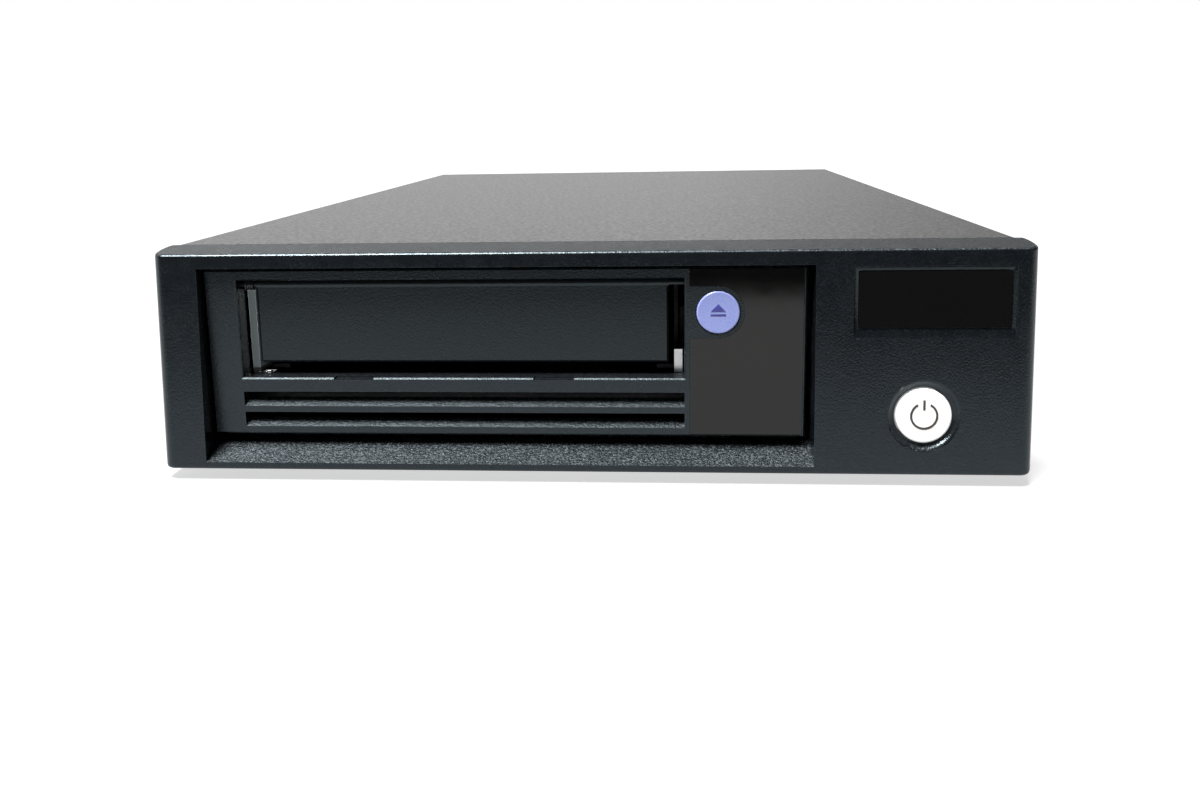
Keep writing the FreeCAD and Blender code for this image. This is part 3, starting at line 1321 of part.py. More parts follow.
def load_drive():
    low = deck_top + 0.3 + rack_lift
    pinion = new_body("load_pinion")
    bore = size_of(1.5) + d.pin_fit
    root = d.pinion_radius - d.tooth_root
    tip = d.pinion_radius + d.tooth_tip
    gear_top = low + rack_height + 0.6
    wheel_top = gear_top + 3.2
    wheel_root = d.wheel_radius - 0.8
    profile = [(bore, low), (root, low), (root, gear_top), (wheel_root, gear_top), (wheel_root, wheel_top),
               (bore, wheel_top)]
    spin(pinion, "XZ_Plane", "V_Axis", [profile])
    flank = d.tooth_half + d.tooth_root * pinion_slope
    crest = d.tooth_half - d.tooth_tip * tooth_slope - 0.05
    tooth = [(-tip, -crest), (-d.pinion_radius, -d.tooth_half), (-root + 0.3, -flank), (-root + 0.3, flank),
             (-d.pinion_radius, d.tooth_half), (-tip, crest)]
    polar_row(pinion, prism(pinion, "XY_Plane", low, gear_top - 0.2, [tooth]), pinion_teeth)
    cog = [(-d.wheel_radius, -0.45), (-wheel_root + 0.3, -0.8),
           (-wheel_root + 0.3, 0.8), (-d.wheel_radius, 0.45)]
    polar_row(pinion, prism(pinion, "XY_Plane", gear_top, wheel_top, [cog]), wheel_teeth)
    place(pinion, pinion_x, pinion_y, 0)
    worm_x = pinion_x + d.wheel_radius + 2.6
    worm_z = low + 4.8
    radius = worm_z - deck_top - 0.1
    motor_y = pinion_y + 8
    publish("load_motor", fuse(rod("y", worm_x, motor_y, worm_z, radius, 24),
                               rod("y", worm_x, motor_y - 2, worm_z, 2.5, 3)))
    worm = new_body("load_worm")
    worm_start, worm_end = pinion_y - 7, motor_y - 2.3
    core, crest, thread_pitch = 1.5, 2.2, 2.4
    prism(worm, "XY_Plane", 0, worm_end - worm_start, [(0, 0, core)])
    prism(worm, "XY_Plane", 0, 1, [(0, 0, crest)])
    sketch = worm.newObject("Sketcher::SketchObject", "thread")
    plane = [item for item in worm.Origin.OriginFeatures if item.Role == "XZ_Plane"]
    sketch.AttachmentSupport = [(plane[0], "")]
    sketch.MapMode = "FlatFace"
    polygon(sketch, [(core - 0.2, 1.2), (crest, 1.6), (crest, 2.0), (core - 0.2, 2.4)])
    thread = worm.newObject("PartDesign::AdditiveHelix", "thread_helix")
    thread.Profile = sketch
    thread.ReferenceAxis = (sketch, ["V_Axis"])
    thread.Mode = "pitch-height-angle"
    thread.Pitch = thread_pitch
    bind(thread, "Height", worm_end - worm_start - 3.4)
    worm.Placement.Rotation = turned["y"]
    place(worm, worm_x, worm_start, worm_z)


# ---------------------------------------------------------------- drive: tape path

def supply_hub():
    body = new_body("supply_hub")
    low = deck_top + 0.5
    shaft = d.shaft_radius
    profile = [(0, deck_z - 3), (shaft, deck_z - 3), (shaft, low), (d.hub_radius, low),
               (d.hub_radius, low + 1.6), (d.hub_radius * 0.62, low + 1.6), (d.hub_radius * 0.56, low + 3.2),
               (4, low + 3.2), (3, low + 4.4), (0, low + 4.4)]
    spin(body, "XZ_Plane", "V_Axis", [profile])
    tooth_in, tooth_out, gear_low = d.hub_radius * 0.68, d.hub_radius * 0.94, low + 1.4
    tooth = [(tooth_in, -0.45), (tooth_out, -0.8), (tooth_out, 0.8), (tooth_in, 0.45)]
    polar_row(body, prism(body, "XY_Plane", gear_low, gear_low + 1.2, [tooth]), 24)
    place(body, hub_x, hub_y, 0)


def take_up_reel():
    body = new_body("take_up_reel")
    shaft = d.shaft_radius
    boss_z = deck_top + 0.4
    flange_z = d.tape_low - 2
    profile = [(0, deck_z - 3), (shaft, deck_z - 3), (shaft, boss_z), (6, boss_z), (6, flange_z),
               (d.reel_radius, flange_z), (d.reel_radius, flange_z + 1), (d.reel_hub, flange_z + 1.2),
               (d.reel_hub, d.tape_high), (d.reel_hub - 3, d.tape_high), (d.reel_hub - 5, d.tape_high - 5),
               (5, d.tape_high - 5), (4, d.tape_high - 1), (0, d.tape_high - 1)]
    spin(body, "XZ_Plane", "V_Axis", [profile])
    prism(body, "XY_Plane", d.tape_low, d.tape_high + 1, [rectangle(0, -2.6, d.reel_hub + 1, 2.6)], cut=True)
    place(body, reel_x, reel_y, 0)


def guide_rollers():
    low = d.tape_low - 0.4
    high = d.tape_high + 0.4
    bore = d.roller_pin + d.pin_fit
    radius = d.roller_radius
    flange = radius + 1.5
    posts = []
    for number, (angle, arc) in enumerate(roller_spots, start=1):
        turn = size_of(angle)
        x = arm_x + arc * cosine(turn)
        y = arm_y + arc * sine(turn)
        body = new_body(f"guide_roller_{number}")
        profile = [(bore, low), (flange, low), (flange, low + 0.7),
                   (radius, low + 1.0), (radius, high - 1.0),
                   (flange, high - 0.7), (flange, high), (bore, high)]
        spin(body, "XZ_Plane", "V_Axis", [profile])
        place(body, x, y, 0)
        pin = rod("z", x, y, deck_top, d.roller_pin, high + 0.8 - deck_top)
        collar = rod("z", x, y, deck_top, d.roller_pin + 1.2, low - 0.3 - deck_top)
        posts.append(fuse(pin, collar))
    group("roller_posts", posts)


def head():
    x, y = head_x, head_y
    body = new_body("head_block")
    low, high = d.tape_low + 1, d.tape_high - 1.4
    outline = [(x - 6, y - 8), (x + 4, y - 8), (x + 6, y - 5),
               (x + 6, y + 5), (x + 4, y + 8), (x - 6, y + 8)]
    prism(body, "XY_Plane", low, high, [outline])
    rails = [(x - 3, y + offset) for offset in (-5, 5)]
    rail_holes = [(rx, ry, size_of(1.5) + d.pin_fit) for rx, ry in rails]
    prism(body, "XY_Plane", low - 1, high + 1, rail_holes, cut=True)
    group("head_rails", [rod("z", rx, ry, deck_top, 1.5, 23) for rx, ry in rails])
    publish("head_actuator", box(x - 18, y - 7, deck_top, x - 8, y + 7, deck_top + 17))


def threader():
    low = d.tape_high + 5.1
    arm = new_body("threading_arm")
    bore = size_of(2.0) + d.pin_fit
    half_bar = 2.5
    tip = d.arm_length
    bar = [(0, -half_bar), (tip, -half_bar, (tip, 0), False), (tip, half_bar), (0, half_bar)]
    prism(arm, "XY_Plane", low, low + 2, [bar])
    prism(arm, "XY_Plane", low - 0.5, low + 3, [(0, 0, 4.5)])
    prism(arm, "XY_Plane", low - 1, low + 4, [(0, 0, bore)], cut=True)
    catcher = new_body("leader_catcher")
    prism(catcher, "XY_Plane", d.tape_low + 1.5, low, [(tip, 0, 2.2)])
    prism(catcher, "XY_Plane", d.tape_low + 3, d.tape_high - 1, [rectangle(tip + 0.8, -2.5, tip + 2.5, 2.5)],
          cut=True)
    for body in (arm, catcher):
        body.Placement.Rotation = FreeCAD.Rotation(V(0, 0, -1), -d.arm_rest.value)
        bind(body, "Placement.Rotation.Angle", -d.arm_rest)
        place(body, arm_x, arm_y, 0)
    group("pivot_posts", [rod("z", arm_x, arm_y, deck_top, 2.0, low + 4 - deck_top),
                          rod("z", pinion_x, pinion_y, deck_top, 1.5, 8)])


def springs():
    wire = 0.35
    start = d.power_length + 0.1
    power = coil("power_spring", 4.9, wire, bezel_back + 3 - front - start - 1.6, 5)
    eye_y = start
    inward = Size(lean.value + 90, f"({lean.text} + 90 deg)")
    power.Placement.Rotation = FreeCAD.Rotation(V(-1, 0, 0), inward.value)
    bind(power, "Placement.Rotation.Angle", inward)
    place(power, power_x, front + eye_y * cosine(lean) + d.power_rise * sine(lean),
          floor_z + d.power_rise * cosine(lean) - eye_y * sine(lean))
    start = drive_face + d.drive_face_wall + 1.05
    eject = coil("eject_spring", 4.4, wire, pan_front + 2.15 - start, 3)
    eject.Placement.Rotation = turned["y"]
    place(eject, eject_x, start, eject_z)
    door = coil("door_spring", 1.26, 0.18, 2.6, 4)
    door.Placement.Rotation = turned["x"]
    place(door, mouth_left + 0.6, hinge_y, hinge_z)


def cables():
    plug_z = board_top + 2.9
    end_y = rear_in - 24
    middle = socket_x
    start = pan_back + 1.5
    turn_y = (start + end_y) / 2
    cable("data_cable", 2.4, plug_z, size_of(12),
          [(middle - 14, start), (middle - 14, turn_y), (port_x + d.port_pitch / 2, turn_y),
           (port_x + d.port_pitch / 2, end_y)])
    cable("power_cable", 2.4, plug_z, size_of(12),
          [(middle + 14, start), (middle + 14, start + 26), (supply_x, start + 26), (supply_x, supply_end)])




# ---------------------------------------------------------------- build, check and write

for make in (front_bezel, nameplate_window, power_button, power_switch_board, top_cover, base_tray,
             rubber_feet, rear_panel, fan, power_inlet, sas_ports,
             power_supply, drive_bezel, display_window, eject_button, display_board, cartridge_door,
             drive_pan, drive_lid, drive_brackets, drive_deck, reel_motors, main_board, entry_guides,
             cartridge_tray, loader_sled, load_drive, supply_hub, take_up_reel, guide_rollers, head,
             threader, springs, cables, case_screws, small_screws, standoffs):
    make()

doc.recompute()
for item in doc.Objects:
    if "Invalid" in item.State or "Error" in item.State:
        raise RuntimeError(f"{item.Name} failed: {item.State}")
for feature in cuts:
    if feature.Shape.Volume > feature.BaseFeature.Shape.Volume - 1e-3:
        raise RuntimeError(f"{feature.Name} in {feature.getParent().Name} cuts nothing")
for name, item in parts.items():
    if item.Shape.isNull() or not item.Shape.isValid():
        raise RuntimeError(f"{name} has no valid shape")

os.makedirs("parts", exist_ok=True)
for name, item in parts.items():
    item.Shape.exportStep(f"parts/{name}.step")
    print(name, len(item.Shape.Solids), round(item.Shape.Volume))
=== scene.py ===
import math
import bpy
from mathutils import Matrix, Vector


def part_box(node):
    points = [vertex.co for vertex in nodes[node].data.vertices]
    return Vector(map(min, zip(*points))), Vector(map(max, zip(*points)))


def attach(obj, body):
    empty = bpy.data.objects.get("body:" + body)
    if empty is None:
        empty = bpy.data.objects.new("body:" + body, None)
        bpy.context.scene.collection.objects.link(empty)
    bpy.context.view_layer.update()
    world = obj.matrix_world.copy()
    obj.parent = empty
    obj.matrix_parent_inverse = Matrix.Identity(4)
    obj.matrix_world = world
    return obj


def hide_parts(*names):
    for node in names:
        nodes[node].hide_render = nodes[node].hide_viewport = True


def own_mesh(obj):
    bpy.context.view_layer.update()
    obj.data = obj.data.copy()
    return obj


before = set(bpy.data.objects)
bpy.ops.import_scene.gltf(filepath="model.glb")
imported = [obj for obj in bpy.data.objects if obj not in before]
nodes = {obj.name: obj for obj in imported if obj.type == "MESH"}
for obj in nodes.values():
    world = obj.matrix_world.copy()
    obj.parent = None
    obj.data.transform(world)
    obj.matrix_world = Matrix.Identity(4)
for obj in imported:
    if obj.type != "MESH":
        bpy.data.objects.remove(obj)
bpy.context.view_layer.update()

mm = 0.001


def deselectAll():
    for thing in bpy.context.selected_objects:
        thing.select_set(False)


deselectAll()
print("frame loaded:", len(nodes), "solids")


# camera: in front of the case and above it, a little right of its middle

cameraSetup = {
    "place": (21.53, -414.13, 88.38),
    "pitch": -10.91,
    "roll": 1.07,
    "yaw": 4.80,
    "lens": 32.03,
    "shiftX": 0.01356,
    "shiftY": -0.06314,
}


def placeCamera(setup):
    bpy.ops.object.camera_add()
    camera = bpy.context.object
    camera.name = "productCamera"
    turn = Matrix.Rotation(math.radians(setup["yaw"]), 3, "Z")
    turn = turn @ Matrix.Rotation(math.radians(setup["pitch"]), 3, "X")
    turn = turn @ Matrix.Rotation(math.radians(setup["roll"]), 3, "Y")
    lookAlongY = Matrix.Rotation(math.radians(90), 3, "X")
    camera.rotation_euler = (turn @ lookAlongY).to_euler()
    camera.location = Vector(setup["place"]) * mm
    camera.data.sensor_width = 36
    camera.data.lens = setup["lens"]
    camera.data.shift_x = setup["shiftX"]
    camera.data.shift_y = setup["shiftY"]
    camera.data.clip_start = 0.01
    camera.data.clip_end = 50
    bpy.context.scene.camera = camera


placeCamera(cameraSetup)
bpy.context.scene.view_settings.view_transform = "Standard"
print("camera placed")


# small helpers for node trees

def addNode(tree, kind, **values):
    node = tree.nodes.new(kind)
    for name, value in values.items():
        if name == "inputs":
            for socket, setting in value.items():
                node.inputs[socket].default_value = setting
        else:
            setattr(node, name, value)
    return node


def newGroup(name, results, **values):  # takes a vector and the named values, gives the named masks
    tree = bpy.data.node_groups.new(name, "ShaderNodeTree")
    tree.interface.new_socket(name="Vector", in_out="INPUT", socket_type="NodeSocketVector")
    for label, start in values.items():
        socket = tree.interface.new_socket(name=label, in_out="INPUT", socket_type="NodeSocketFloat")
        socket.default_value = start
    for label in results:
        tree.interface.new_socket(name=label, in_out="OUTPUT", socket_type="NodeSocketFloat")
    return tree, tree.nodes.new("NodeGroupInput"), tree.nodes.new("NodeGroupOutput")


def ramp(tree, source, low, high, toLow=0.0, toHigh=1.0):
    node = addNode(tree, "ShaderNodeMapRange", inputs={1: low, 2: high, 3: toLow, 4: toHigh})
    tree.links.new(source, node.inputs[0])
    return node.outputs[0]


def calc(tree, operation, first, second):
    node = addNode(tree, "ShaderNodeMath", operation=operation)
    for index, value in enumerate((first, second)):
        if isinstance(value, (int, float)):
            node.inputs[index].default_value = value
        else:
            tree.links.new(value, node.inputs[index])
    return node.outputs[0]


def split(tree, vector):
    node = addNode(tree, "ShaderNodeSeparateXYZ")
    tree.links.new(vector, node.inputs[0])
    return node.outputs


def noise(tree, vector, scale, detail, roughness=0.5):
    node = addNode(tree, "ShaderNodeTexNoise", inputs={"Detail": detail, "Roughness": roughness})
    tree.links.new(vector, node.inputs["Vector"])
    if isinstance(scale, (int, float)):
        node.inputs["Scale"].default_value = scale
    else:
        tree.links.new(scale, node.inputs["Scale"])
    return node.outputs["Fac"]


# surface effects, each built once and placed in the materials with their own values

def mouldedGrain():  # spark-eroded mould texture: rounded pebbles for the bump, and a mask of specks where painted glints lighten the colour
    tree, source, result = newGroup("mouldedGrain", ("Height", "Glint"), Pebbles=1500.0)
    coarse = addNode(tree, "ShaderNodeTexVoronoi", feature="SMOOTH_F1", inputs={"Smoothness": 0.5})
    tree.links.new(source.outputs["Vector"], coarse.inputs["Vector"])
    tree.links.new(source.outputs["Pebbles"], coarse.inputs["Scale"])
    fineScale = calc(tree, "MULTIPLY", source.outputs["Pebbles"], 1.7)
    fine = noise(tree, source.outputs["Vector"], fineScale, 2.0, 0.6)
    pebble = ramp(tree, coarse.outputs["Distance"], 0.0, 0.7, 1.0, 0.0)
    mixed = calc(tree, "ADD", calc(tree, "MULTIPLY", pebble, 0.6), calc(tree, "MULTIPLY", fine, 0.6))
    tree.links.new(mixed, result.inputs["Height"])
    tree.links.new(ramp(tree, fine, 0.55, 0.7), result.inputs["Glint"])
    return tree


def settledDust():  # fine pale dust in uneven patches on the faces that look up
    tree, source, result = newGroup("settledDust", ("Mask",), Amount=0.2)
    facing = addNode(tree, "ShaderNodeNewGeometry")
    upward = ramp(tree, split(tree, facing.outputs["Normal"])["Z"], 0.3, 0.95)
    patches = noise(tree, source.outputs["Vector"], 38.0, 4.0, 0.62)
    specks = noise(tree, source.outputs["Vector"], 2600.0, 1.0)
    cover = calc(tree, "MULTIPLY", ramp(tree, patches, 0.35, 0.7), ramp(tree, specks, 0.45, 0.75))
    mask = calc(tree, "MULTIPLY", calc(tree, "MULTIPLY", cover, upward), source.outputs["Amount"])
    tree.links.new(mask, result.inputs["Mask"])
    return tree


def edgeRub():  # edges that handling has polished or bared, broken up by noise; also used to place painted edge highlights
    tree, source, result = newGroup("edgeRub", ("Mask",), Width=0.0005, Amount=0.5)
    rounded = addNode(tree, "ShaderNodeBevel", samples=4)
    tree.links.new(source.outputs["Width"], rounded.inputs["Radius"])
    flat = addNode(tree, "ShaderNodeNewGeometry")
    dot = addNode(tree, "ShaderNodeVectorMath", operation="DOT_PRODUCT")
    tree.links.new(rounded.outputs["Normal"], dot.inputs[0])
    tree.links.new(flat.outputs["Normal"], dot.inputs[1])
    edge = ramp(tree, dot.outputs["Value"], 0.99, 0.82)
    patches = noise(tree, source.outputs["Vector"], 210.0, 5.0, 0.7)
    broken = calc(tree, "MULTIPLY", edge, ramp(tree, patches, 0.36, 0.6))
    tree.links.new(calc(tree, "MULTIPLY", broken, source.outputs["Amount"]), result.inputs["Mask"])
    return tree


def blotches():  # slow and quick change of shade over a moulding or a rolled sheet
    tree, source, result = newGroup("blotches", ("Slow", "Quick"), Scale=25.0)
    for label, factor, detail in (("Slow", 1.0, 3.0), ("Quick", 11.0, 4.0)):
        size = calc(tree, "MULTIPLY", source.outputs["Scale"], factor)
        tree.links.new(noise(tree, source.outputs["Vector"], size, detail, 0.6), result.inputs[label])
    return tree


def rolledLines():  # fine parallel lines of rolled or brushed metal
    tree, source, result = newGroup("rolledLines", ("Height",), Across=3000.0)
    stretch = addNode(tree, "ShaderNodeVectorMath", operation="MULTIPLY", inputs={1: (1.0, 0.02, 1.0)})
    tree.links.new(source.outputs["Vector"], stretch.inputs[0])
    lines = noise(tree, stretch.outputs[0], source.outputs["Across"], 3.0, 0.6)
    tree.links.new(lines, result.inputs["Height"])
    return tree


def spangle():  # flat crystals of a galvanised sheet
    tree, source, result = newGroup("spangle", ("Shade",), Crystals=160.0)
    cells = addNode(tree, "ShaderNodeTexVoronoi", inputs={"Randomness": 1.0})
    tree.links.new(source.outputs["Vector"], cells.inputs["Vector"])
    tree.links.new(source.outputs["Crystals"], cells.inputs["Scale"])
    tree.links.new(split(tree, cells.outputs["Color"])[0], result.inputs["Shade"])
    return tree


def band():  # 1 between two heights of the object, 0 outside
    tree, source, result = newGroup("band", ("Mask",), From=0.0, To=1.0)
    height = split(tree, source.outputs["Vector"])["Z"]
    above = calc(tree, "GREATER_THAN", height, source.outputs["From"])
    below = calc(tree, "LESS_THAN", height, source.outputs["To"])
    tree.links.new(calc(tree, "MULTIPLY", above, below), result.inputs["Mask"])
    return tree


effects = {make.__name__: make()
           for make in (mouldedGrain, settledDust, edgeRub, blotches, rolledLines, spangle, band)}
print("surface effects built:", ", ".join(effects))


# materials

def startMaterial(name):
    material = bpy.data.materials.new(name)
    material.use_nodes = True
    tree = material.node_tree
    tree.nodes.clear()
    output = tree.nodes.new("ShaderNodeOutputMaterial")
    shader = tree.nodes.new("ShaderNodeBsdfPrincipled")
    tree.links.new(shader.outputs[0], output.inputs[0])
    place = tree.nodes.new("ShaderNodeTexCoord")
    return material, tree, shader, place.outputs["Object"]


def useEffect(tree, name, vector, **values):
    node = addNode(tree, "ShaderNodeGroup", node_tree=effects[name])
    tree.links.new(vector, node.inputs["Vector"])
    for label, value in values.items():
        node.inputs[label].default_value = value
    return node


def mixColours(tree, mask, first, second):
    node = addNode(tree, "ShaderNodeMix", data_type="RGBA")
    tree.links.new(mask, node.inputs[0])
    for index, value in ((6, first), (7, second)):
        if isinstance(value, tuple):
            node.inputs[index].default_value = (*value, 1.0)
        else:
            tree.links.new(value, node.inputs[index])
    return node.outputs[2]


def addBump(tree, shader, height, strength, distance):
    bump = addNode(tree, "ShaderNodeBump", inputs={"Strength": strength, "Distance": distance})
    tree.links.new(height, bump.inputs["Height"])
    tree.links.new(bump.outputs[0], shader.inputs["Normal"])
    return bump


def dress(tree, shader, colour, rough, metal=0.0):
    tree.links.new(colour, shader.inputs["Base Color"])
    tree.links.new(rough, shader.inputs["Roughness"])
    shader.inputs["Metallic"].default_value = metal


def trueNormal(tree):
    return split(tree, addNode(tree, "ShaderNodeNewGeometry").outputs["True Normal"])


dustColour = (0.42, 0.41, 0.39)
plasticStart = {
    "drift": 120.0, "pebbles": 3200.0, "glint": 0.1, "rub": 0.2, "rubWidth": 0.0003, "edgeRough": -0.15,
    "dust": 0.03, "rough": (0.26, 0.36), "bump": 0.08, "bumpDepth": 0.00005, "sheen": (1.0, 1.0, 1.0)}


def plastic(name, dark, light, **changes):  # moulded: drifting shade, grain with painted glints, rubbed edges that on some plastics carry a painted highlight, dust
    setup = {**plasticStart, **changes}
    material, tree, shader, vector = startMaterial(name)
    drift = useEffect(tree, "blotches", vector, Scale=setup["drift"])
    grain = useEffect(tree, "mouldedGrain", vector, Pebbles=setup["pebbles"])
    dust = useEffect(tree, "settledDust", vector, Amount=setup["dust"])
    rub = useEffect(tree, "edgeRub", vector, Width=setup["rubWidth"], Amount=setup["rub"])
    colour = mixColours(tree, drift.outputs["Slow"], dark, light)
    # painted glints: grain specks mixed towards a lighter colour stand in for highlights on the grain
    glint = calc(tree, "MULTIPLY", grain.outputs["Glint"], setup["glint"])
    colour = mixColours(tree, glint, colour, setup["glintColour"])
    # edges mixed towards the rub colour: rubbed wear, and on the front bezel, drive bezel and door also a
    # painted edge highlight
    colour = mixColours(tree, rub.outputs["Mask"], colour, setup["rubColour"])
    colour = mixColours(tree, dust.outputs["Mask"], colour, dustColour)
    rough = ramp(tree, drift.outputs["Quick"], 0.3, 0.7, *setup["rough"])
    rough = calc(tree, "ADD", rough, calc(tree, "MULTIPLY", rub.outputs["Mask"], setup["edgeRough"]))
    bump = addBump(tree, shader, grain.outputs["Height"], setup["bump"], setup["bumpDepth"])
    if "slope" in setup:  # slopes are rougher, with a deep grain and painted sparkle, lighter specks standing in for glints; flat tops have a shallow grain
        upward = trueNormal(tree)["Z"]
        slope = calc(tree, "MULTIPLY", ramp(tree, upward, 0.6, 0.75),
                     ramp(tree, upward, 0.965, 0.99, 1.0, 0.0))
        rough = calc(tree, "ADD", rough, calc(tree, "MULTIPLY", slope, setup["slope"]))
        shine = ramp(tree, slope, 0.0, 1.0, 0.5, setup["slopeShine"])
        tree.links.new(shine, shader.inputs["Specular IOR Level"])
        # painted sparkle: specks on the slopes mixed towards a lighter colour stand in for glints
        sparkle = ramp(tree, noise(tree, vector, 1600.0, 2.0, 0.6), 0.5, 0.64)
        colour = mixColours(tree, calc(tree, "MULTIPLY", sparkle, slope), colour, setup["sparkle"])
        depth = calc(tree, "ADD", ramp(tree, upward, 0.96, 0.99, setup["bump"], 0.14), slope)
        tree.links.new(depth, bump.inputs["Strength"])
    dress(tree, shader, colour, rough)
    shader.inputs["Specular Tint"].default_value = (*setup["sheen"], 1.0)
    # painted glow: emission that lifts the cap towards white, though no lamp is in it
    if "glow" in setup:
        shader.inputs["Emission Color"].default_value = (1, 1, 1, 1)
        shader.inputs["Emission Strength"].default_value = setup["glow"]
    return material


coolSheen = (0.76, 0.92, 1.0)
bezelPlastic = plastic(
    "bezelPlastic", (0.0010, 0.0013, 0.0018), (0.0018, 0.0023, 0.0029), drift=22.0, pebbles=1900.0,
    glint=0.35, glintColour=(0.020, 0.025, 0.030), rub=0.4, rubColour=(0.026, 0.030, 0.034),
    rough=(0.22, 0.29), bump=0.28, bumpDepth=0.00012, sheen=coolSheen,
    slope=0.16, slopeShine=0.3, sparkle=(0.034, 0.039, 0.042), edgeRough=0.1)
driveBezelPlastic = plastic(
    "driveBezelPlastic", (0.0016, 0.0021, 0.0027), (0.0026, 0.0033, 0.0041), drift=26.0, pebbles=2100.0,
    glint=0.35, glintColour=(0.022, 0.027, 0.032), rub=0.5, rubColour=(0.030, 0.034, 0.038),
    rough=(0.23, 0.30), bump=0.28, bumpDepth=0.00011, sheen=coolSheen,
    slope=0.16, slopeShine=0.18, sparkle=(0.026, 0.030, 0.032), edgeRough=0.12)
doorPlastic = plastic(
    "doorPlastic", (0.0018, 0.0022, 0.0025), (0.0028, 0.0033, 0.0037), drift=30.0, pebbles=2200.0,
    glint=0.25, glintColour=(0.018, 0.021, 0.024), rub=0.35, rubColour=(0.02, 0.023, 0.026),
    rough=(0.28, 0.36), bump=0.45, bumpDepth=0.0001, sheen=coolSheen)
blackPlastic = plastic(
    "blackPlastic", (0.010, 0.010, 0.011), (0.016, 0.016, 0.017), drift=40.0, pebbles=2600.0,
    glint=0.2, glintColour=(0.05, 0.05, 0.05), rub=0.4, rubColour=(0.05, 0.05, 0.05),
    dust=0.12, rough=(0.34, 0.48), bump=0.25, bumpDepth=0.00008)
footRubber = plastic(
    "footRubber", (0.012, 0.012, 0.012), (0.022, 0.021, 0.020), drift=90.0, pebbles=1800.0,
    glintColour=(0.06, 0.06, 0.06), rub=0.6, rubWidth=0.0008, rubColour=(0.06, 0.058, 0.055),
    dust=0.2, rough=(0.62, 0.85), bump=0.4, bumpDepth=0.0001)
whitePlastic = plastic(
    "whitePlastic", (0.80, 0.80, 0.79), (0.88, 0.88, 0.87), glintColour=(0.95, 0.95, 0.95), rub=0.15,
    rubColour=(0.6, 0.59, 0.57), dust=0.05)
litCap = plastic(  # the power button's cap has a painted glow, emission that lifts it towards white
    "litCap", (0.36, 0.36, 0.355), (0.40, 0.40, 0.395), glintColour=(0.45, 0.45, 0.45),
    rubColour=(0.30, 0.295, 0.285), glow=0.25)
iconBrown = plastic(
    "iconBrown", (0.018, 0.014, 0.011), (0.028, 0.022, 0.018), drift=300.0, pebbles=4000.0,
    glintColour=(0.05, 0.045, 0.04), rubWidth=0.0001, rubColour=(0.06, 0.05, 0.045),
    dust=0.0, rough=(0.4, 0.5), bump=0.1, bumpDepth=0.00003)
iconViolet = plastic(
    "iconViolet", (0.014, 0.014, 0.085), (0.030, 0.032, 0.15), drift=420.0, pebbles=4000.0,
    glintColour=(0.2, 0.22, 0.5), rub=0.4, rubWidth=0.0001, rubColour=(0.25, 0.28, 0.55),
    dust=0.0, rough=(0.3, 0.4), bump=0.1, bumpDepth=0.00003)


def powderCoat(name, setup):  # black powder coat: fine orange peel, tiny pits and a few pale specks
    material, tree, shader, vector = startMaterial(name)
    drift = useEffect(tree, "blotches", vector, Scale=9.0)
    grain = useEffect(tree, "mouldedGrain", vector, Pebbles=setup["peel"])
    rub = useEffect(tree, "edgeRub", vector, Width=0.0006, Amount=0.5)
    dust = useEffect(tree, "settledDust", vector, Amount=0.02)
    colour = mixColours(tree, drift.outputs["Slow"], setup["dark"], setup["light"])
    colour = mixColours(tree, rub.outputs["Mask"], colour, (0.10, 0.10, 0.10))
    colour = mixColours(tree, dust.outputs["Mask"], colour, dustColour)
    dress(tree, shader, colour, ramp(tree, noise(tree, vector, 900.0, 2.0), 0.3, 0.7, *setup["rough"]))
    addBump(tree, shader, grain.outputs["Height"], setup["bump"], setup["bumpDepth"])
    return material


def zincSheet(name, setup):  # zinc-plated sheet: faint crystals, rolling lines and bare edges
    material, tree, shader, vector = startMaterial(name)
    crystal = useEffect(tree, "spangle", vector, Crystals=setup["crystals"])
    lines = useEffect(tree, "rolledLines", vector, Across=2600.0)
    drift = useEffect(tree, "blotches", vector, Scale=45.0)
    rub = useEffect(tree, "edgeRub", vector, Width=0.0004, Amount=0.8)
    colour = mixColours(tree, ramp(tree, crystal.outputs["Shade"], 0.0, 1.0, 0.1, 0.9), *setup["shades"])
    dull = calc(tree, "MULTIPLY", drift.outputs["Quick"], 0.35)
    colour = mixColours(tree, dull, colour, (0.30, 0.29, 0.27))
    colour = mixColours(tree, rub.outputs["Mask"], colour, (0.78, 0.78, 0.78))
    rough = ramp(tree, crystal.outputs["Shade"], 0.0, 1.0, *setup["rough"])
    dress(tree, shader, colour, rough, metal=1.0)
    addBump(tree, shader, lines.outputs["Height"], 0.25, 0.00006)
    return material


def smokedGloss(name, setup):  # smoked acrylic: near black, very smooth, with a slow waviness
    material, tree, shader, vector = startMaterial(name)
    drift = useEffect(tree, "blotches", vector, Scale=14.0)
    lines = useEffect(tree, "rolledLines", vector, Across=900.0)
    colour = mixColours(tree, drift.outputs["Slow"], *setup["shades"])
    rough = ramp(tree, drift.outputs["Quick"], 0.35, 0.75, *setup["rough"])
    rough = calc(tree, "ADD", rough, ramp(tree, lines.outputs["Height"], 0.6, 0.8, 0.0, 0.05))
    dress(tree, shader, colour, rough)
    shader.inputs["IOR"].default_value = setup["ior"]
    addBump(tree, shader, drift.outputs["Slow"], 0.12, 0.0004)
    return material


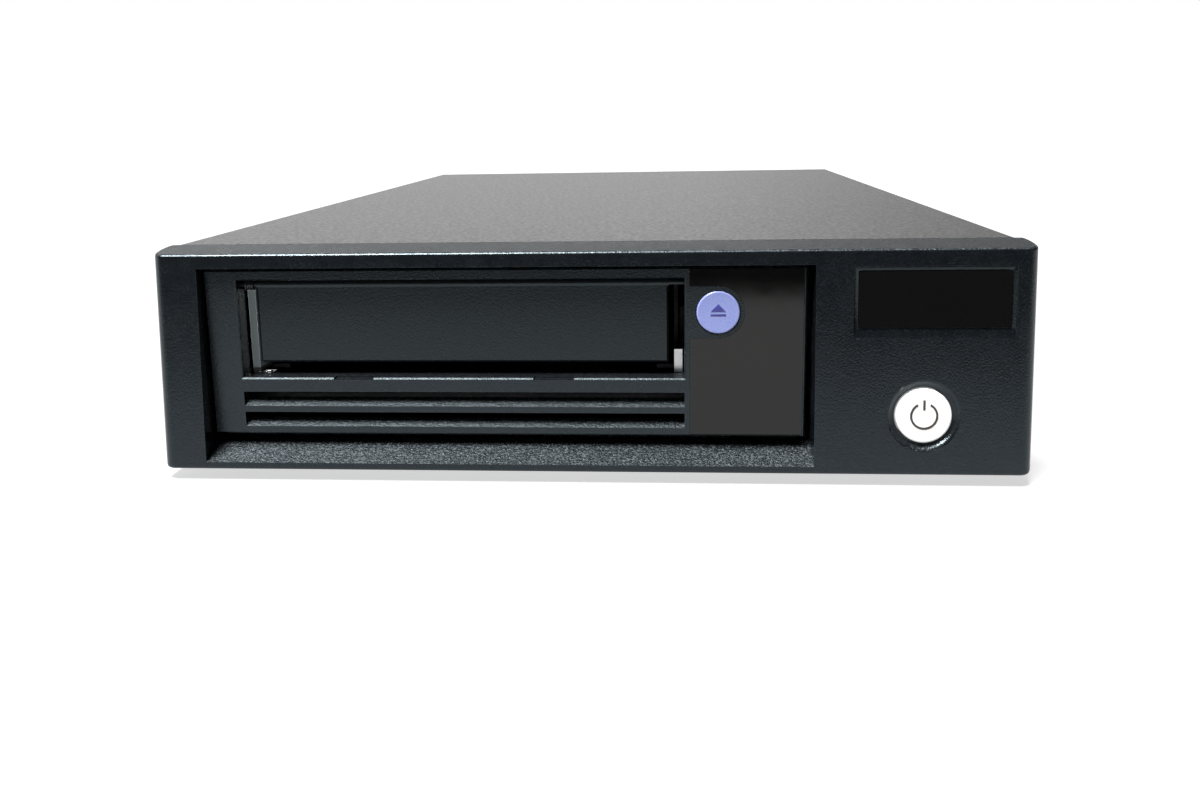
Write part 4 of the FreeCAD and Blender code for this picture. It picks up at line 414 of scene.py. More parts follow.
def lavenderPlastic():  # milky violet cap, paler along its rim edges
    material, tree, shader, vector = startMaterial("lavenderPlastic")
    drift = useEffect(tree, "blotches", vector, Scale=160.0)
    grain = useEffect(tree, "mouldedGrain", vector, Pebbles=3400.0)
    rub = useEffect(tree, "edgeRub", vector, Width=0.0005, Amount=0.7)
    colour = mixColours(tree, drift.outputs["Slow"], (0.125, 0.150, 0.31), (0.145, 0.170, 0.34))
    colour = mixColours(tree, rub.outputs["Mask"], colour, (0.60, 0.63, 0.86))
    dress(tree, shader, colour, ramp(tree, drift.outputs["Quick"], 0.3, 0.7, 0.24, 0.34))
    shader.inputs["Subsurface Weight"].default_value = 0.25
    shader.inputs["Subsurface Radius"].default_value = (0.6, 0.7, 1.0)
    shader.inputs["Subsurface Scale"].default_value = 0.001
    addBump(tree, shader, grain.outputs["Height"], 0.06, 0.00005)
    return material


def castAlloy(name, shades, pores):  # die-cast metal: soft pitted skin in the bump, with painted glints where grain specks lighten the colour
    material, tree, shader, vector = startMaterial(name)
    drift = useEffect(tree, "blotches", vector, Scale=60.0)
    grain = useEffect(tree, "mouldedGrain", vector, Pebbles=900.0)
    colour = mixColours(tree, drift.outputs["Slow"], *shades)
    # painted glints: grain specks mixed towards a lighter colour stand in for highlights
    colour = mixColours(tree, calc(tree, "MULTIPLY", grain.outputs["Glint"], 0.3), colour, pores)
    dress(tree, shader, colour, ramp(tree, drift.outputs["Quick"], 0.3, 0.7, 0.42, 0.6), metal=0.9)
    addBump(tree, shader, grain.outputs["Height"], 0.3, 0.00012)
    return material


def drawnMetal(name, shades, rough):  # drawn or turned metal: fine lines, slight tarnish, bright edges
    material, tree, shader, vector = startMaterial(name)
    lines = useEffect(tree, "rolledLines", vector, Across=4200.0)
    drift = useEffect(tree, "blotches", vector, Scale=110.0)
    rub = useEffect(tree, "edgeRub", vector, Width=0.0003, Amount=0.7)
    colour = mixColours(tree, drift.outputs["Slow"], *shades)
    colour = mixColours(tree, rub.outputs["Mask"], colour, (0.82, 0.82, 0.82))
    dress(tree, shader, colour, ramp(tree, drift.outputs["Quick"], 0.3, 0.7, *rough), metal=1.0)
    addBump(tree, shader, lines.outputs["Height"], 0.15, 0.00004)
    return material


def circuitBoard(name, low, high):  # green lacquer over tracks between two heights, black parts beyond
    material, tree, shader, vector = startMaterial(name)
    drift = useEffect(tree, "blotches", vector, Scale=70.0)
    tracks = addNode(tree, "ShaderNodeTexBrick", inputs={
        "Scale": 190.0, "Mortar Size": 0.06, "Color1": (1, 1, 1, 1), "Color2": (0.9, 0.9, 0.9, 1),
        "Mortar": (0, 0, 0, 1)})
    tree.links.new(vector, tracks.inputs["Vector"])
    lacquer = mixColours(tree, drift.outputs["Slow"], (0.010, 0.075, 0.035), (0.018, 0.115, 0.055))
    copper = calc(tree, "MULTIPLY", tracks.outputs["Fac"], 0.6)
    lacquer = mixColours(tree, copper, lacquer, (0.035, 0.17, 0.08))
    epoxy = mixColours(tree, drift.outputs["Quick"], (0.012, 0.012, 0.013), (0.030, 0.030, 0.031))
    sheet = useEffect(tree, "band", vector, From=low * mm, To=high * mm)
    colour = mixColours(tree, sheet.outputs["Mask"], epoxy, lacquer)
    dress(tree, shader, colour, ramp(tree, drift.outputs["Quick"], 0.3, 0.7, 0.25, 0.42))
    addBump(tree, shader, tracks.outputs["Fac"], 0.2, 0.00006)
    return material


def sleevedCan(name, low, high):  # printed sleeve on a can, bare aluminium where it is open on top
    material, tree, shader, vector = startMaterial(name)
    drift = useEffect(tree, "blotches", vector, Scale=90.0)
    sleeve = mixColours(tree, drift.outputs["Slow"], (0.012, 0.014, 0.020), (0.020, 0.024, 0.034))
    bare = mixColours(tree, drift.outputs["Quick"], (0.52, 0.52, 0.53), (0.70, 0.70, 0.71))
    covered = useEffect(tree, "band", vector, From=low * mm, To=high * mm)
    colour = mixColours(tree, covered.outputs["Mask"], bare, sleeve)
    dress(tree, shader, colour, ramp(tree, drift.outputs["Quick"], 0.3, 0.7, 0.24, 0.38))
    tree.links.new(ramp(tree, covered.outputs["Mask"], 0.0, 1.0, 1.0, 0.0), shader.inputs["Metallic"])
    addBump(tree, shader, drift.outputs["Quick"], 0.1, 0.0001)
    return material


def guideStrip(name, low):  # grey moulded strip over a black step, with painted highlights along its edges; the up-facing faces at its foot are pale: the metal's own light tone, with a painted reflection of the front light
    material, tree, shader, vector = startMaterial(name)
    drift = useEffect(tree, "blotches", vector, Scale=120.0)
    grain = useEffect(tree, "mouldedGrain", vector, Pebbles=2600.0)
    rub = useEffect(tree, "edgeRub", vector, Width=0.00035, Amount=1.0)
    colour = mixColours(tree, drift.outputs["Slow"], (0.034, 0.042, 0.044), (0.050, 0.060, 0.062))
    # painted highlight: a pale line along the strip's edges
    colour = mixColours(tree, rub.outputs["Mask"], colour, (0.20, 0.24, 0.24))
    step = useEffect(tree, "band", vector, From=0.0, To=low + 3.3 * mm)
    colour = mixColours(tree, step.outputs["Mask"], colour, (0.004, 0.004, 0.004))
    # painted reflection: the foot's up-facing faces are pale, standing in for front light reflected off
    # bright metal
    pale = mixColours(tree, drift.outputs["Quick"], (0.66, 0.65, 0.68), (0.84, 0.83, 0.86))
    foot = useEffect(tree, "band", vector, From=0.0, To=low + 0.9 * mm)
    lead = calc(tree, "MULTIPLY", foot.outputs["Mask"], ramp(tree, trueNormal(tree)["Z"], 0.5, 0.6))
    colour = mixColours(tree, lead, colour, pale)
    dress(tree, shader, colour, ramp(tree, drift.outputs["Quick"], 0.3, 0.7, 0.3, 0.42))
    addBump(tree, shader, grain.outputs["Height"], 0.15, 0.00005)
    return material


coverPaint = powderCoat("coverPaint", {
    "dark": (0.0050, 0.0050, 0.0048), "light": (0.0060, 0.0060, 0.0057), "peel": 1150.0,
    "rough": (0.31, 0.44), "bump": 0.6, "bumpDepth": 0.00010})
sheetSteel = zincSheet("zincSteel", {
    "shades": ((0.50, 0.51, 0.53), (0.68, 0.69, 0.70)), "crystals": 150.0, "rough": (0.24, 0.42)})
driveSteel = zincSheet("driveSteel", {
    "shades": ((0.58, 0.59, 0.61), (0.74, 0.75, 0.77)), "crystals": 90.0, "rough": (0.2, 0.34)})
guideFinish = guideStrip("guideFinish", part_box("entry_guide")[0][2])
windowGloss = smokedGloss("windowGloss", {
    "shades": ((0.0030, 0.0030, 0.0028), (0.0046, 0.0046, 0.0044)), "rough": (0.06, 0.11), "ior": 1.42})
plateGloss = smokedGloss("plateGloss", {
    "shades": ((0.0016, 0.0016, 0.0016), (0.0024, 0.0024, 0.0024)), "rough": (0.05, 0.10), "ior": 1.5})
lavenderCap = lavenderPlastic()
castFinish = castAlloy("castAlloy", ((0.26, 0.26, 0.27), (0.42, 0.42, 0.43)), (0.6, 0.6, 0.6))
# painted shade: the deck, tray and sled take a near-black alloy colour standing in for the darkness seen
# through the louvres
deckFinish = castAlloy("deckAlloy", ((0.022, 0.022, 0.024), (0.040, 0.040, 0.042)), (0.09, 0.09, 0.09))
blackWire = drawnMetal("blackWire", ((0.030, 0.030, 0.031), (0.055, 0.055, 0.056)), (0.3, 0.42))
springSteel = drawnMetal("springSteel", ((0.42, 0.42, 0.43), (0.60, 0.60, 0.61)), (0.18, 0.32))
screwSteel = drawnMetal("screwSteel", ((0.50, 0.50, 0.51), (0.66, 0.66, 0.67)), (0.22, 0.34))
pillarBrass = drawnMetal("pillarBrass", ((0.62, 0.44, 0.17), (0.76, 0.57, 0.26)), (0.22, 0.38))
contactGold = drawnMetal("contactGold", ((0.78, 0.55, 0.20), (0.88, 0.66, 0.29)), (0.16, 0.28))
boardLow = {name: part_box(name)[0][2] / mm - 0.05
            for name in ("main_board", "power_supply_board", "port_board")}
caseTop = 90.0  # millimetres, above everything
mainBoard = circuitBoard("mainBoard", boardLow["main_board"], boardLow["main_board"] + 1.7)
supplyBoard = circuitBoard("supplyBoard", boardLow["power_supply_board"], caseTop)
socketBoard = circuitBoard("socketBoard", boardLow["port_board"], caseTop)
uprightBoard = circuitBoard("uprightBoard", 0.0, caseTop)
canFinish = sleevedCan("canFinish", 0.0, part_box("capacitors")[1][2] / mm - 0.35)

finishes = {
    "front_bezel": bezelPlastic, "drive_bezel": driveBezelPlastic, "cartridge_door": doorPlastic,
    "top_cover": coverPaint, "nameplate_window": plateGloss, "display_window": windowGloss,
    "eject_button": lavenderCap, "power_button": litCap, "rubber_feet": footRubber, "capacitors": canFinish,
    "entry_guide": guideFinish, "standoffs": pillarBrass, "load_worm": pillarBrass, "main_board": mainBoard,
    "power_supply_board": supplyBoard, "port_board": socketBoard, "transformer": blackPlastic,
}
sameFinish = (
    (sheetSteel, ("base_tray", "rear_panel")),
    (deckFinish, ("drive_deck", "cartridge_tray", "loader_sled")),
    (castFinish, ("threading_arm", "supply_hub", "heat_sinks", "head_block")),
    (driveSteel, ("drive_pan", "drive_lid", "drive_bracket_left", "drive_bracket_right", "entry_clip",
                  "load_motor", "reel_motors", "sas_ports")),
    (springSteel, ("fan_guard", "power_spring", "eject_spring", "roller_posts", "head_rails",
                   "pivot_posts")),
    (blackWire, ("door_spring",)),
    (screwSteel, ("case_screws", "small_screws", "fan_screws")),
    (uprightBoard, ("power_switch_board", "display_board")),
    (whitePlastic, ("load_pinion", "guide_roller_1", "guide_roller_2", "guide_roller_3", "guide_roller_4")),
    (blackPlastic, ("fan_frame", "fan_rotor", "power_inlet", "drive_connector", "take_up_reel",
                    "head_actuator", "data_cable", "power_cable", "leader_catcher")),
)
for finish, names in sameFinish:
    finishes.update({name: finish for name in names})
for name, finish in finishes.items():
    nodes[name].data.materials.clear()
    nodes[name].data.materials.append(finish)
bare = [name for name in nodes if name not in finishes]
print("materials given to", len(finishes), "solids, without:", bare)


# modelling helpers

weldGap = 0.001 * mm
squarely = 0.9  # a normal with more than this along a way looks that way
smoothAngle = 30


def setMode(kind):
    bpy.ops.object.mode_set(mode=kind)


def middleOf(name):
    low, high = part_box(name)
    return [(low[axis] + high[axis]) / 2 for axis in range(3)]


def activate(piece):
    deselectAll()
    piece.select_set(True)
    bpy.context.view_layer.objects.active = piece


def startPiece(name):  # takes up the primitive just added
    piece = bpy.context.object
    piece.name = name
    piece.data.name = name
    activate(piece)
    return piece


def bakePlace():  # moves the object's own place, turn and size into its mesh
    bpy.ops.object.transform_apply(location=True, rotation=True, scale=True)


def block(name, middle, size):  # a plain block to work from
    bpy.ops.mesh.primitive_cube_add(size=1, location=middle)
    piece = startPiece(name)
    piece.scale = size
    bakePlace()
    return piece


def copySolid(name, pieceName):  # a free copy of a solid's mesh, selected and open in edit mode
    deselectAll()
    piece = nodes[name].copy()
    piece.data = nodes[name].data.copy()
    bpy.context.collection.objects.link(piece)
    piece.name = pieceName
    piece.data.name = pieceName
    activate(piece)
    setMode("EDIT")
    bpy.ops.mesh.select_all(action="SELECT")
    return piece


def pickFaces(piece, way):  # selects the faces that look along the way, in edit mode
    setMode("EDIT")
    bpy.ops.mesh.select_mode(type="FACE")
    bpy.ops.mesh.select_all(action="DESELECT")
    setMode("OBJECT")
    for face in piece.data.polygons:
        face.select = face.normal.dot(Vector(way)) > squarely
    setMode("EDIT")


def finishPiece(piece, finish, body):  # place into the mesh, smooth, dress and ride
    activate(piece)
    bakePlace()
    bpy.ops.object.shade_smooth_by_angle(angle=math.radians(smoothAngle))
    piece.data.materials.clear()
    piece.data.materials.append(finish)
    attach(piece, body)
    deselectAll()


def cleanMesh():  # merge doubles, then turn the faces outwards
    bpy.ops.mesh.select_all(action="SELECT")
    bpy.ops.mesh.remove_doubles(threshold=weldGap)
    bpy.ops.mesh.normals_make_consistent(inside=False)
    setMode("OBJECT")


def joinAll(pieces, name):
    deselectAll()
    for piece in pieces:
        piece.select_set(True)
    bpy.context.view_layer.objects.active = pieces[0]
    bpy.ops.object.join()
    pieces[0].name = name
    return pieces[0]


def copyTo(model, turn):  # a copy with its own mesh, set where the matrix says
    twin = model.copy()
    twin.data = model.data.copy()
    bpy.context.collection.objects.link(twin)
    twin.matrix_world = turn
    return twin


def applyModifier(piece, kind, **values):
    modifier = piece.modifiers.new(kind.lower(), kind)
    for name, value in values.items():
        setattr(modifier, name, value)
    bpy.ops.object.modifier_apply(modifier=modifier.name)


# screws: pan heads with a cross recess and a plain round shank

screwReach = 0.013  # points nearer than this belong to one screw
roundWithin = 0.00012  # a screw is as wide as it is deep across its axis, within this
crossRecess = {"long": 1.15, "wide": 0.24, "deep": 1.1, "taper": 0.55}  # shares of the head and its rise
screwSetup = {
    "case_screws": {"head": 2.9, "rise": 1.6, "shank": 1.5, "length": 4.0},
    "fan_screws": {"head": 2.3, "rise": 1.4, "shank": 1.5, "length": 7.8},
    "small_screws": {"head": 1.9, "rise": 1.0, "shank": 1.0, "length": 1.9},
}


def screwPlaces(name):  # middle of each screw and the way its head points, from the solid's own points
    clusters = []
    for vertex in nodes[name].data.vertices:
        point = vertex.co.copy()
        near = [cluster for cluster in clusters if (cluster[0] - point).length < screwReach]
        if near:
            near[0].append(point)
        else:
            clusters.append([point])
    places = []
    for cluster in clusters:
        low = Vector([min(point[axis] for point in cluster) for axis in range(3)])
        high = Vector([max(point[axis] for point in cluster) for axis in range(3)])
        size = high - low
        axis = [axis for axis in range(3)
                if abs(size[(axis + 1) % 3] - size[(axis + 2) % 3]) < roundWithin][0]
        middle = (low + high) / 2
        across = (axis + 1) % 3
        widest = max(cluster, key=lambda point: abs(point[across] - middle[across]))
        sign = 1 if widest[axis] > middle[axis] else -1
        way = Vector((0, 0, 0))
        way[axis] = sign
        top = middle.copy()
        top[axis] = high[axis] if sign > 0 else low[axis]
        places.append((top, way))
    return places


def crossCutter(head, rise):
    bars = []
    for turn in (0, math.pi / 2):
        bpy.ops.mesh.primitive_cube_add(size=1, location=(0, 0, rise))
        bar = startPiece("crossBar")
        bar.scale = (head * crossRecess["long"], head * crossRecess["wide"], rise * crossRecess["deep"])
        bar.rotation_euler = (0, 0, turn)
        bpy.ops.object.transform_apply(location=False, rotation=True, scale=True)
        pickFaces(bar, (0, 0, -1))
        bpy.ops.transform.resize(value=(crossRecess["taper"], crossRecess["taper"], 1))
        setMode("OBJECT")
        bars.append(bar)
    return bars


def makeScrew(setup):
    head, rise, shank, length = (setup[key] * mm for key in ("head", "rise", "shank", "length"))
    bpy.ops.mesh.primitive_cylinder_add(vertices=36, radius=shank, depth=length,
                                        location=(0, 0, -length / 2), end_fill_type="NGON")
    screw = startPiece("panScrew")
    bakePlace()
    pickFaces(screw, (0, 0, -1))
    bpy.ops.mesh.inset(thickness=shank * 0.3, depth=shank * 0.25)
    pickFaces(screw, (0, 0, 1))
    steps = ((head * 0.97, 0.0), (head, rise * 0.1), (head, rise * 0.45), (head * 0.9, rise * 0.78),
             (head * 0.72, rise * 0.93), (head * 0.45, rise))
    radius, height = shank, 0.0
    for wide, high in steps:
        bpy.ops.mesh.extrude_region_move(TRANSFORM_OT_translate={"value": (0, 0, high - height)})
        bpy.ops.transform.resize(value=(wide / radius, wide / radius, 1))
        radius, height = wide, high
    cleanMesh()
    for bar in crossCutter(head, rise):
        activate(screw)
        applyModifier(screw, "BOOLEAN", operation="DIFFERENCE", solver="EXACT", object=bar)
        bpy.data.objects.remove(bar)
    applyModifier(screw, "BEVEL", width=head * 0.02, segments=2, limit_method="ANGLE")
    return screw


def driveScrews(name, setup):
    model = makeScrew(setup)
    copies = []
    for top, way in screwPlaces(name):
        seat = top - way * setup["rise"] * mm
        turn = Matrix.Translation(seat) @ way.to_track_quat("Z", "Y").to_matrix().to_4x4()
        spin = Matrix.Rotation(0.6 + 1.3 * len(copies), 4, "Z")  # each stopped at its own angle
        copies.append(copyTo(model, turn @ spin))
    bpy.data.objects.remove(model)
    for piece in copies:
        activate(piece)
        bakePlace()
    screws = joinAll(copies, name.replace("_s", "S") + "Set")
    finishPiece(screws, screwSteel, "enclosure")
    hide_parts(name)
    return len(copies)


for name, setup in screwSetup.items():
    print(name, "made:", driveScrews(name, setup))


# front bezel: the solid's own shell, with its four long corners rolled over

bezelCorners = {"roll": 2.4, "clear": 0.02, "steps": 12, "flat": 0.4}


def rollBezelCorners(setup):
    low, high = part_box("front_bezel")
    shell = copySolid("front_bezel", "bezelShell")
    bpy.ops.mesh.remove_doubles(threshold=2 * weldGap)
    setMode("OBJECT")
    clear = setup["clear"] * mm
    size = [high[axis] - low[axis] + 2 * clear for axis in range(3)]
    mould = block("bezelMould", middleOf("front_bezel"), size)
    setMode("EDIT")
    bpy.ops.mesh.select_mode(type="EDGE")
    bpy.ops.mesh.select_all(action="DESELECT")
    setMode("OBJECT")
    points = mould.data.vertices
    for edge in mould.data.edges:
        first, second = (points[index].co for index in edge.vertices)
        edge.select = abs(first.y - second.y) > size[1] * squarely
    setMode("EDIT")
    bpy.ops.mesh.bevel(offset=setup["roll"] * mm, segments=setup["steps"], profile=0.5)
    setMode("OBJECT")
    activate(shell)
    applyModifier(shell, "BOOLEAN", operation="INTERSECT", solver="EXACT", object=mould)
    bpy.data.objects.remove(mould)
    setMode("EDIT")
    bpy.ops.mesh.select_all(action="SELECT")
    bpy.ops.mesh.remove_doubles(threshold=2 * weldGap)
    bpy.ops.mesh.dissolve_limited(angle_limit=math.radians(setup["flat"]))
    setMode("OBJECT")
    finishPiece(shell, bezelPlastic, "enclosure")
    activate(shell)
    applyModifier(shell, "WEIGHTED_NORMAL", keep_sharp=True, weight=100)
    deselectAll()
    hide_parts("front_bezel")
    return len(shell.data.polygons)


print("bezel shell faces:", rollBezelCorners(bezelCorners))


# eject mark: a triangle over a bar, inlaid in the violet cap

ejectMark = {"wide": 3.7, "tall": 1.95, "foot": 0.2, "barTop": -0.34, "barThick": 0.5, "proud": 0.07,
             "deep": 0.2, "soft": 0.06}


def inlayBar(name, left, right, low, high, front, depth):  # a slim block with softened edges
    middle = ((left + right) / 2, front + depth / 2, (low + high) / 2)
    bar = block(name, middle, (right - left, depth, high - low))
    applyModifier(bar, "BEVEL", width=min(right - left, high - low) * 0.12, segments=2)
    return bar


def makeEjectMark(setup):
    middleX, middleZ = middleOf("eject_button")[::2]
    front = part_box("eject_button")[0][1] - setup["proud"] * mm
    depth = (setup["proud"] + setup["deep"]) * mm
    wide, tall = setup["wide"] * mm, setup["tall"] * mm
    foot = middleZ + setup["foot"] * mm
    bpy.ops.mesh.primitive_cylinder_add(vertices=3, radius=1, depth=1, end_fill_type="NGON")
    triangle = startPiece("ejectTriangle")
    triangle.rotation_euler = (math.radians(90), 0, 0)
    bakePlace()
    corners = [vertex.co for vertex in triangle.data.vertices]
    span = [max(corner[axis] for corner in corners) - min(corner[axis] for corner in corners)
            for axis in range(3)]
    triangle.scale = (wide / span[0], depth / span[1], tall / span[2])
    bakePlace()
    lowest = min(vertex.co.z for vertex in triangle.data.vertices)
    triangle.location = (middleX, front + depth / 2, foot - lowest)
    bakePlace()
    applyModifier(triangle, "BEVEL", width=setup["soft"] * mm, segments=2)
    barTop = middleZ + setup["barTop"] * mm
    barLow = barTop - setup["barThick"] * mm
    bar = inlayBar("ejectBar", middleX - wide / 2, middleX + wide / 2, barLow, barTop, front, depth)
    finishPiece(joinAll([triangle, bar], "ejectMark"), iconViolet, "eject")


makeEjectMark(ejectMark)
print("eject mark inlaid")


# power mark: an open ring and a bar, set in the cap with the painted glow, leaning with the face

powerMark = {"ring": 3.02, "line": 0.52, "gap": 29.0, "barLow": 1.35, "barHigh": 3.8, "barWide": 0.55,
             "proud": 0.1, "deep": 0.3, "lean": 4.11, "round": 0.5,
             "steps": 48}


def makePowerMark(setup):
    inner, outer = (setup["ring"] - setup["line"] / 2) * mm, (setup["ring"] + setup["line"] / 2) * mm
    front, depth = -setup["proud"] * mm, (setup["proud"] + setup["deep"]) * mm
    start = math.radians(setup["gap"])
    bpy.ops.mesh.primitive_plane_add(size=1, location=(0, 0, 0))
    ring = startPiece("powerRing")
    ring.scale = (outer - inner, depth, 1)
    ring.location = ((inner + outer) / 2, front + depth / 2, 0)
    bakePlace()
    ring.rotation_euler = (0, -(math.pi / 2 - start), 0)
    bakePlace()
    setMode("EDIT")
    bpy.ops.mesh.select_all(action="SELECT")
    bpy.ops.mesh.spin(steps=setup["steps"], angle=-2 * (math.pi - start), center=(0, 0, 0), axis=(0, 1, 0))
    cleanMesh()
    bar = inlayBar("powerBar", -setup["barWide"] / 2 * mm, setup["barWide"] / 2 * mm, setup["barLow"] * mm,
                   setup["barHigh"] * mm, front, depth)
    mark = joinAll([ring, bar], "powerMark")
    low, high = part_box("power_button")
    lean = math.radians(setup["lean"])
    radius = (high[0] - low[0]) / 2
    capFront = low[1] + (radius - setup["round"] * mm) * math.sin(lean)  # middle of the cap's leaning face
    capHeight = high[2] - radius * math.cos(lean) + setup["round"] * mm * math.sin(lean)
    mark.rotation_euler = (-lean, 0, 0)
    mark.location = ((low[0] + high[0]) / 2, capFront, capHeight)
    finishPiece(mark, iconBrown, "power")


makePowerMark(powerMark)
print("power mark set")


# button springs: the solids' own coils, copied out as pieces with their own meshes

springSquash = {
    "eject_spring": {"piece": "ejectCoil", "joint": "eject_press", "axis": (0, 1, 0), "keep": 0.74},
    "power_spring": {"piece": "powerCoil", "joint": "power_press", "axis": (0, 0.997431, -0.071629),
                     "keep": 0.82},
}


def freeSpring(name, setup):
    spring = copySolid(name, setup["piece"])
    cleanMesh()
    finishPiece(spring, springSteel, "enclosure")
    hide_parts(name)
    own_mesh(spring)


for name, setup in springSquash.items():
    freeSpring(name, setup)
print("button springs freed")


# entry tab: a bright pressed tongue on the guide's foot, just below the cartridge's path

entryTab = {"inset": 2.1, "foot": 0.75, "wide": 3.4, "tall": 1.5, "thick": 0.35, "lean": 0.25, "set": 0.35,
            "rim": 0.05, "crown": 0.04, "soft": 0.06}


def makeEntryTab(setup):
    low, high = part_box("entry_guide")
    left = high[0] - setup["inset"] * mm
    foot = low[2] + setup["foot"] * mm
    width, tall, thick = (setup[key] * mm for key in ("wide", "tall", "thick"))
    middle = (left + width / 2, low[1] + setup["set"] * mm + thick / 2, foot + tall / 2)
    tab = block("entryTab", middle, (width, thick, tall))
    pickFaces(tab, (0, 0, 1))
    bpy.ops.transform.translate(value=(setup["lean"] * mm, setup["lean"] * mm, 0))
    bpy.ops.mesh.inset(thickness=setup["rim"] * mm, depth=setup["crown"] * mm)
    setMode("OBJECT")
    applyModifier(tab, "BEVEL", width=setup["soft"] * mm, segments=2)
    finishPiece(tab, springSteel, "enclosure")


makeEntryTab(entryTab)
print("entry tab set")


# mains inlet: three flat earth, live and neutral pins

inletPins = {"places": ((-7.0, -1.5), (0.0, 2.5), (7.0, -1.5)), "thin": 2.1, "tall": 4.1, "length": 11.0,
             "tipInset": 7.0, "nose": 0.9, "taper": (0.55, 1, 0.75), "soft": 0.15}


def makeInletPins(setup):
    middleX, middleZ = middleOf("power_inlet")[::2]
    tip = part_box("power_inlet")[1][1] - setup["tipInset"] * mm
    size = [setup[key] * mm for key in ("thin", "length", "tall")]
    pins = []
    for offsetX, offsetZ in setup["places"]:
        place = (middleX + offsetX * mm, tip - size[1] / 2, middleZ + offsetZ * mm)
        pin = block("inletPin", place, size)
        pickFaces(pin, (0, 1, 0))
        bpy.ops.mesh.extrude_region_move(TRANSFORM_OT_translate={"value": (0, setup["nose"] * mm, 0)})
        bpy.ops.transform.resize(value=setup["taper"])
        setMode("OBJECT")
        applyModifier(pin, "BEVEL", width=setup["soft"] * mm, segments=2)
        pins.append(pin)
    finishPiece(joinAll(pins, "inletPins"), springSteel, "enclosure")


makeInletPins(inletPins)
print("inlet pins set")


# data ports: rows of gilt contacts on the tongue of each socket

portContacts = {"count": 9, "pitch": 1.05, "wide": 0.5, "length": 6.0, "thick": 0.12, "tipInset": 7.4,
                "socket": 14.4, "tongue": 0.8, "sunk": 0.04, "rim": 0.08, "crown": 0.03}


def makePortContacts(setup):
    low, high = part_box("sas_ports")
    centre, middleZ = middleOf("sas_ports")[::2]
    halfPitch = ((high[0] - low[0]) - setup["socket"] * mm) / 2
    tip = high[1] - setup["tipInset"] * mm
    size = [setup[key] * mm for key in ("wide", "length", "thick")]
    contacts = []
    for side in (-1, 1):
        for face in (-1, 1):
            z = middleZ + face * (setup["tongue"] + setup["thick"] / 2 - setup["sunk"]) * mm
            for index in range(setup["count"]):
                x = centre + side * halfPitch + (index - (setup["count"] - 1) / 2) * setup["pitch"] * mm
                strip = block("portContact", (x, tip - size[1] / 2, z), size)
                pickFaces(strip, (0, 0, face))
                bpy.ops.mesh.inset(thickness=setup["rim"] * mm, depth=setup["crown"] * mm)
                setMode("OBJECT")
                contacts.append(strip)
    finishPiece(joinAll(contacts, "portContacts"), contactGold, "enclosure")


makePortContacts(portContacts)
print("port contacts laid")


# studio: white floor, soft light from above and the left, a dark cloth behind the camera

studio = {
    "floorSize": 24.0,
    "floorGlow": 0.62,
    "worldBright": 2.12,
    "worldDark": 0.04,
    "worldDirection": (-0.34, 0.90, 0.0),
    "rightShade": 0.24,
    "skyShade": 0.22,
    "sun": {"strength": 2.2, "tilt": (0.20, -0.12), "angle": 12.0},
    "topLight": {"place": (-0.45, -0.62, 1.15), "aim": (0, 0, 0.03), "size": 0.5, "watts": 85.0},
    "slotLight": {"place": (-0.017, -0.32, 0.067), "aim": (-0.087, -0.15, 0.03), "size": 0.03, "watts": 0.5,
                  "lit": ("entry_guide",)},
    "flag": {"y": -0.425, "width": 1.6, "height": 0.34},
}


def areaLamp(name, setup):
    bpy.ops.object.light_add(type="AREA", location=setup["place"])
    lamp = bpy.context.object
    lamp.name = name
    lamp.data.shape = "SQUARE"
    lamp.data.size = setup["size"]
    lamp.data.energy = setup["watts"]
    lamp.rotation_euler = (Vector(setup["aim"]) - lamp.location).to_track_quat("-Z", "Y").to_euler()
    return lamp


def listed(name, things, state):  # for a lamp to reach alone ("INCLUDE") or to pass over ("EXCLUDE")
    group = bpy.data.collections.new(name)
    for thing in things:
        group.objects.link(thing)
    for entry in group.collection_objects:
        entry.light_linking.link_state = state
    return group


def addSoftbox(setup, spared):  # a soft light that passes over the floor, the cloth and the flat cover
    lamp = areaLamp("topLight", setup)
    lamp.light_linking.receiver_collection = listed("sparedStage", spared, "EXCLUDE")


def addSlotLight(setup):  # a small lamp in front of the slot that reaches only the guide inside it
    lamp = areaLamp("slotLight", setup)
    lamp.visible_camera = False
    inside = listed("insideSlot", [nodes[name] for name in setup["lit"]], "INCLUDE")
    lamp.light_linking.receiver_collection = inside


def addSun(setup, unshading):  # nearly overhead, keeps the floor evenly white out to the horizon
    bpy.ops.object.light_add(type="SUN", location=(0, 0, 2))
    lamp = bpy.context.object
    lamp.name = "overheadSun"
    lamp.data.energy = setup["strength"]
    lamp.data.angle = math.radians(setup["angle"])
    lamp.rotation_euler = (*setup["tilt"], 0)
    lamp.light_linking.blocker_collection = listed("lightThrough", [unshading], "EXCLUDE")


def layFloor():
    bpy.ops.mesh.primitive_grid_add(x_subdivisions=4, y_subdivisions=4, size=studio["floorSize"])
    floor = bpy.context.object
    floor.name = "floor"
    material, tree, shader, vector = startMaterial("floorWhite")
    drift = useEffect(tree, "blotches", vector, Scale=3.0)
    colour = mixColours(tree, drift.outputs["Slow"], (0.55, 0.55, 0.55), (0.59, 0.59, 0.59))
    tree.links.new(colour, shader.inputs["Base Color"])
    shader.inputs["Roughness"].default_value = 0.9
    shader.inputs["Specular IOR Level"].default_value = 0.1
    shader.inputs["Emission Color"].default_value = (1, 1, 1, 1)
    shader.inputs["Emission Strength"].default_value = studio["floorGlow"]
    floor.data.materials.append(material)
    return floor


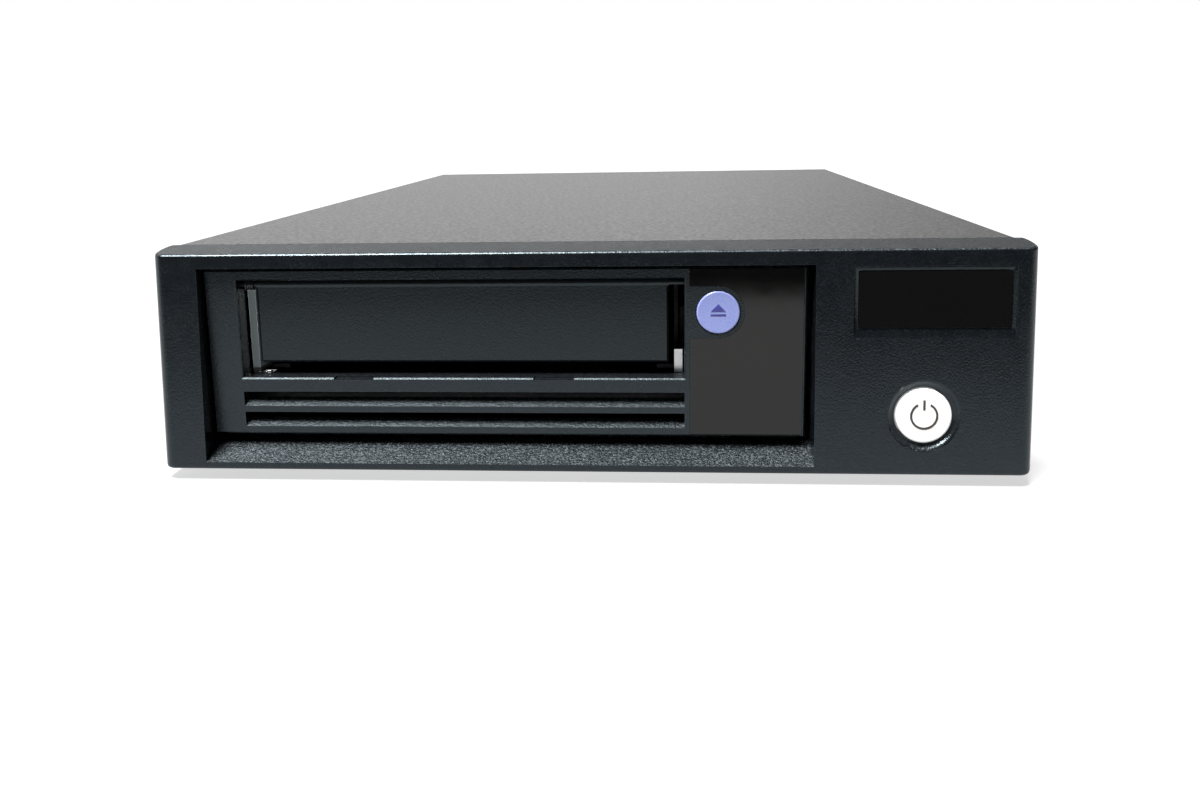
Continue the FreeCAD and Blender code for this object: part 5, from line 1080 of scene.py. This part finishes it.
def hangFlag(setup):  # keeps glare off the gloss parts, unseen by the camera itself
    bpy.ops.mesh.primitive_grid_add(x_subdivisions=2, y_subdivisions=2, size=1.0)
    flag = bpy.context.object
    flag.name = "darkFlag"
    flag.scale = (setup["width"], setup["height"], 1)
    flag.rotation_euler = (math.radians(90), 0, 0)
    flag.location = (0, setup["y"], setup["height"] / 2)
    material, tree, shader, vector = startMaterial("flagCloth")
    drift = useEffect(tree, "blotches", vector, Scale=8.0)
    tree.links.new(mixColours(tree, drift.outputs["Slow"], (0.02, 0.02, 0.02), (0.03, 0.03, 0.03)),
                   shader.inputs["Base Color"])
    shader.inputs["Roughness"].default_value = 1.0
    flag.data.materials.append(material)
    flag.visible_camera = False
    return flag


def setWorld():  # pale surroundings, brighter behind and to the left, plain white past the object
    world = bpy.data.worlds.new("studioWorld")
    bpy.context.scene.world = world
    world.use_nodes = True
    tree = world.node_tree
    tree.nodes.clear()
    output = tree.nodes.new("ShaderNodeOutputWorld")
    direction = tree.nodes.new("ShaderNodeTexCoord")
    dot = addNode(tree, "ShaderNodeVectorMath", operation="DOT_PRODUCT")
    dot.inputs[1].default_value = studio["worldDirection"]
    tree.links.new(direction.outputs["Generated"], dot.inputs[0])
    level = ramp(tree, dot.outputs["Value"], -0.6, 0.85, studio["worldDark"], studio["worldBright"])
    parts = split(tree, direction.outputs["Generated"])
    level = calc(tree, "MULTIPLY", level, ramp(tree, parts["X"], 0.02, 0.5, 1.0, studio["rightShade"]))
    level = calc(tree, "MULTIPLY", level, ramp(tree, parts["Z"], 0.12, 0.6, 1.0, studio["skyShade"]))
    around = tree.nodes.new("ShaderNodeBackground")
    tree.links.new(level, around.inputs["Strength"])
    plain = addNode(tree, "ShaderNodeBackground", inputs={"Color": (1, 1, 1, 1), "Strength": 1.0})
    path = tree.nodes.new("ShaderNodeLightPath")
    mix = tree.nodes.new("ShaderNodeMixShader")
    tree.links.new(path.outputs["Is Camera Ray"], mix.inputs[0])
    tree.links.new(around.outputs[0], mix.inputs[1])
    tree.links.new(plain.outputs[0], mix.inputs[2])
    tree.links.new(mix.outputs[0], output.inputs[0])


stagePieces = [layFloor(), hangFlag(studio["flag"])]
addSoftbox(studio["topLight"], stagePieces + [nodes["top_cover"]])
addSlotLight(studio["slotLight"])
addSun(studio["sun"], stagePieces[1])
setWorld()
print("studio lit")
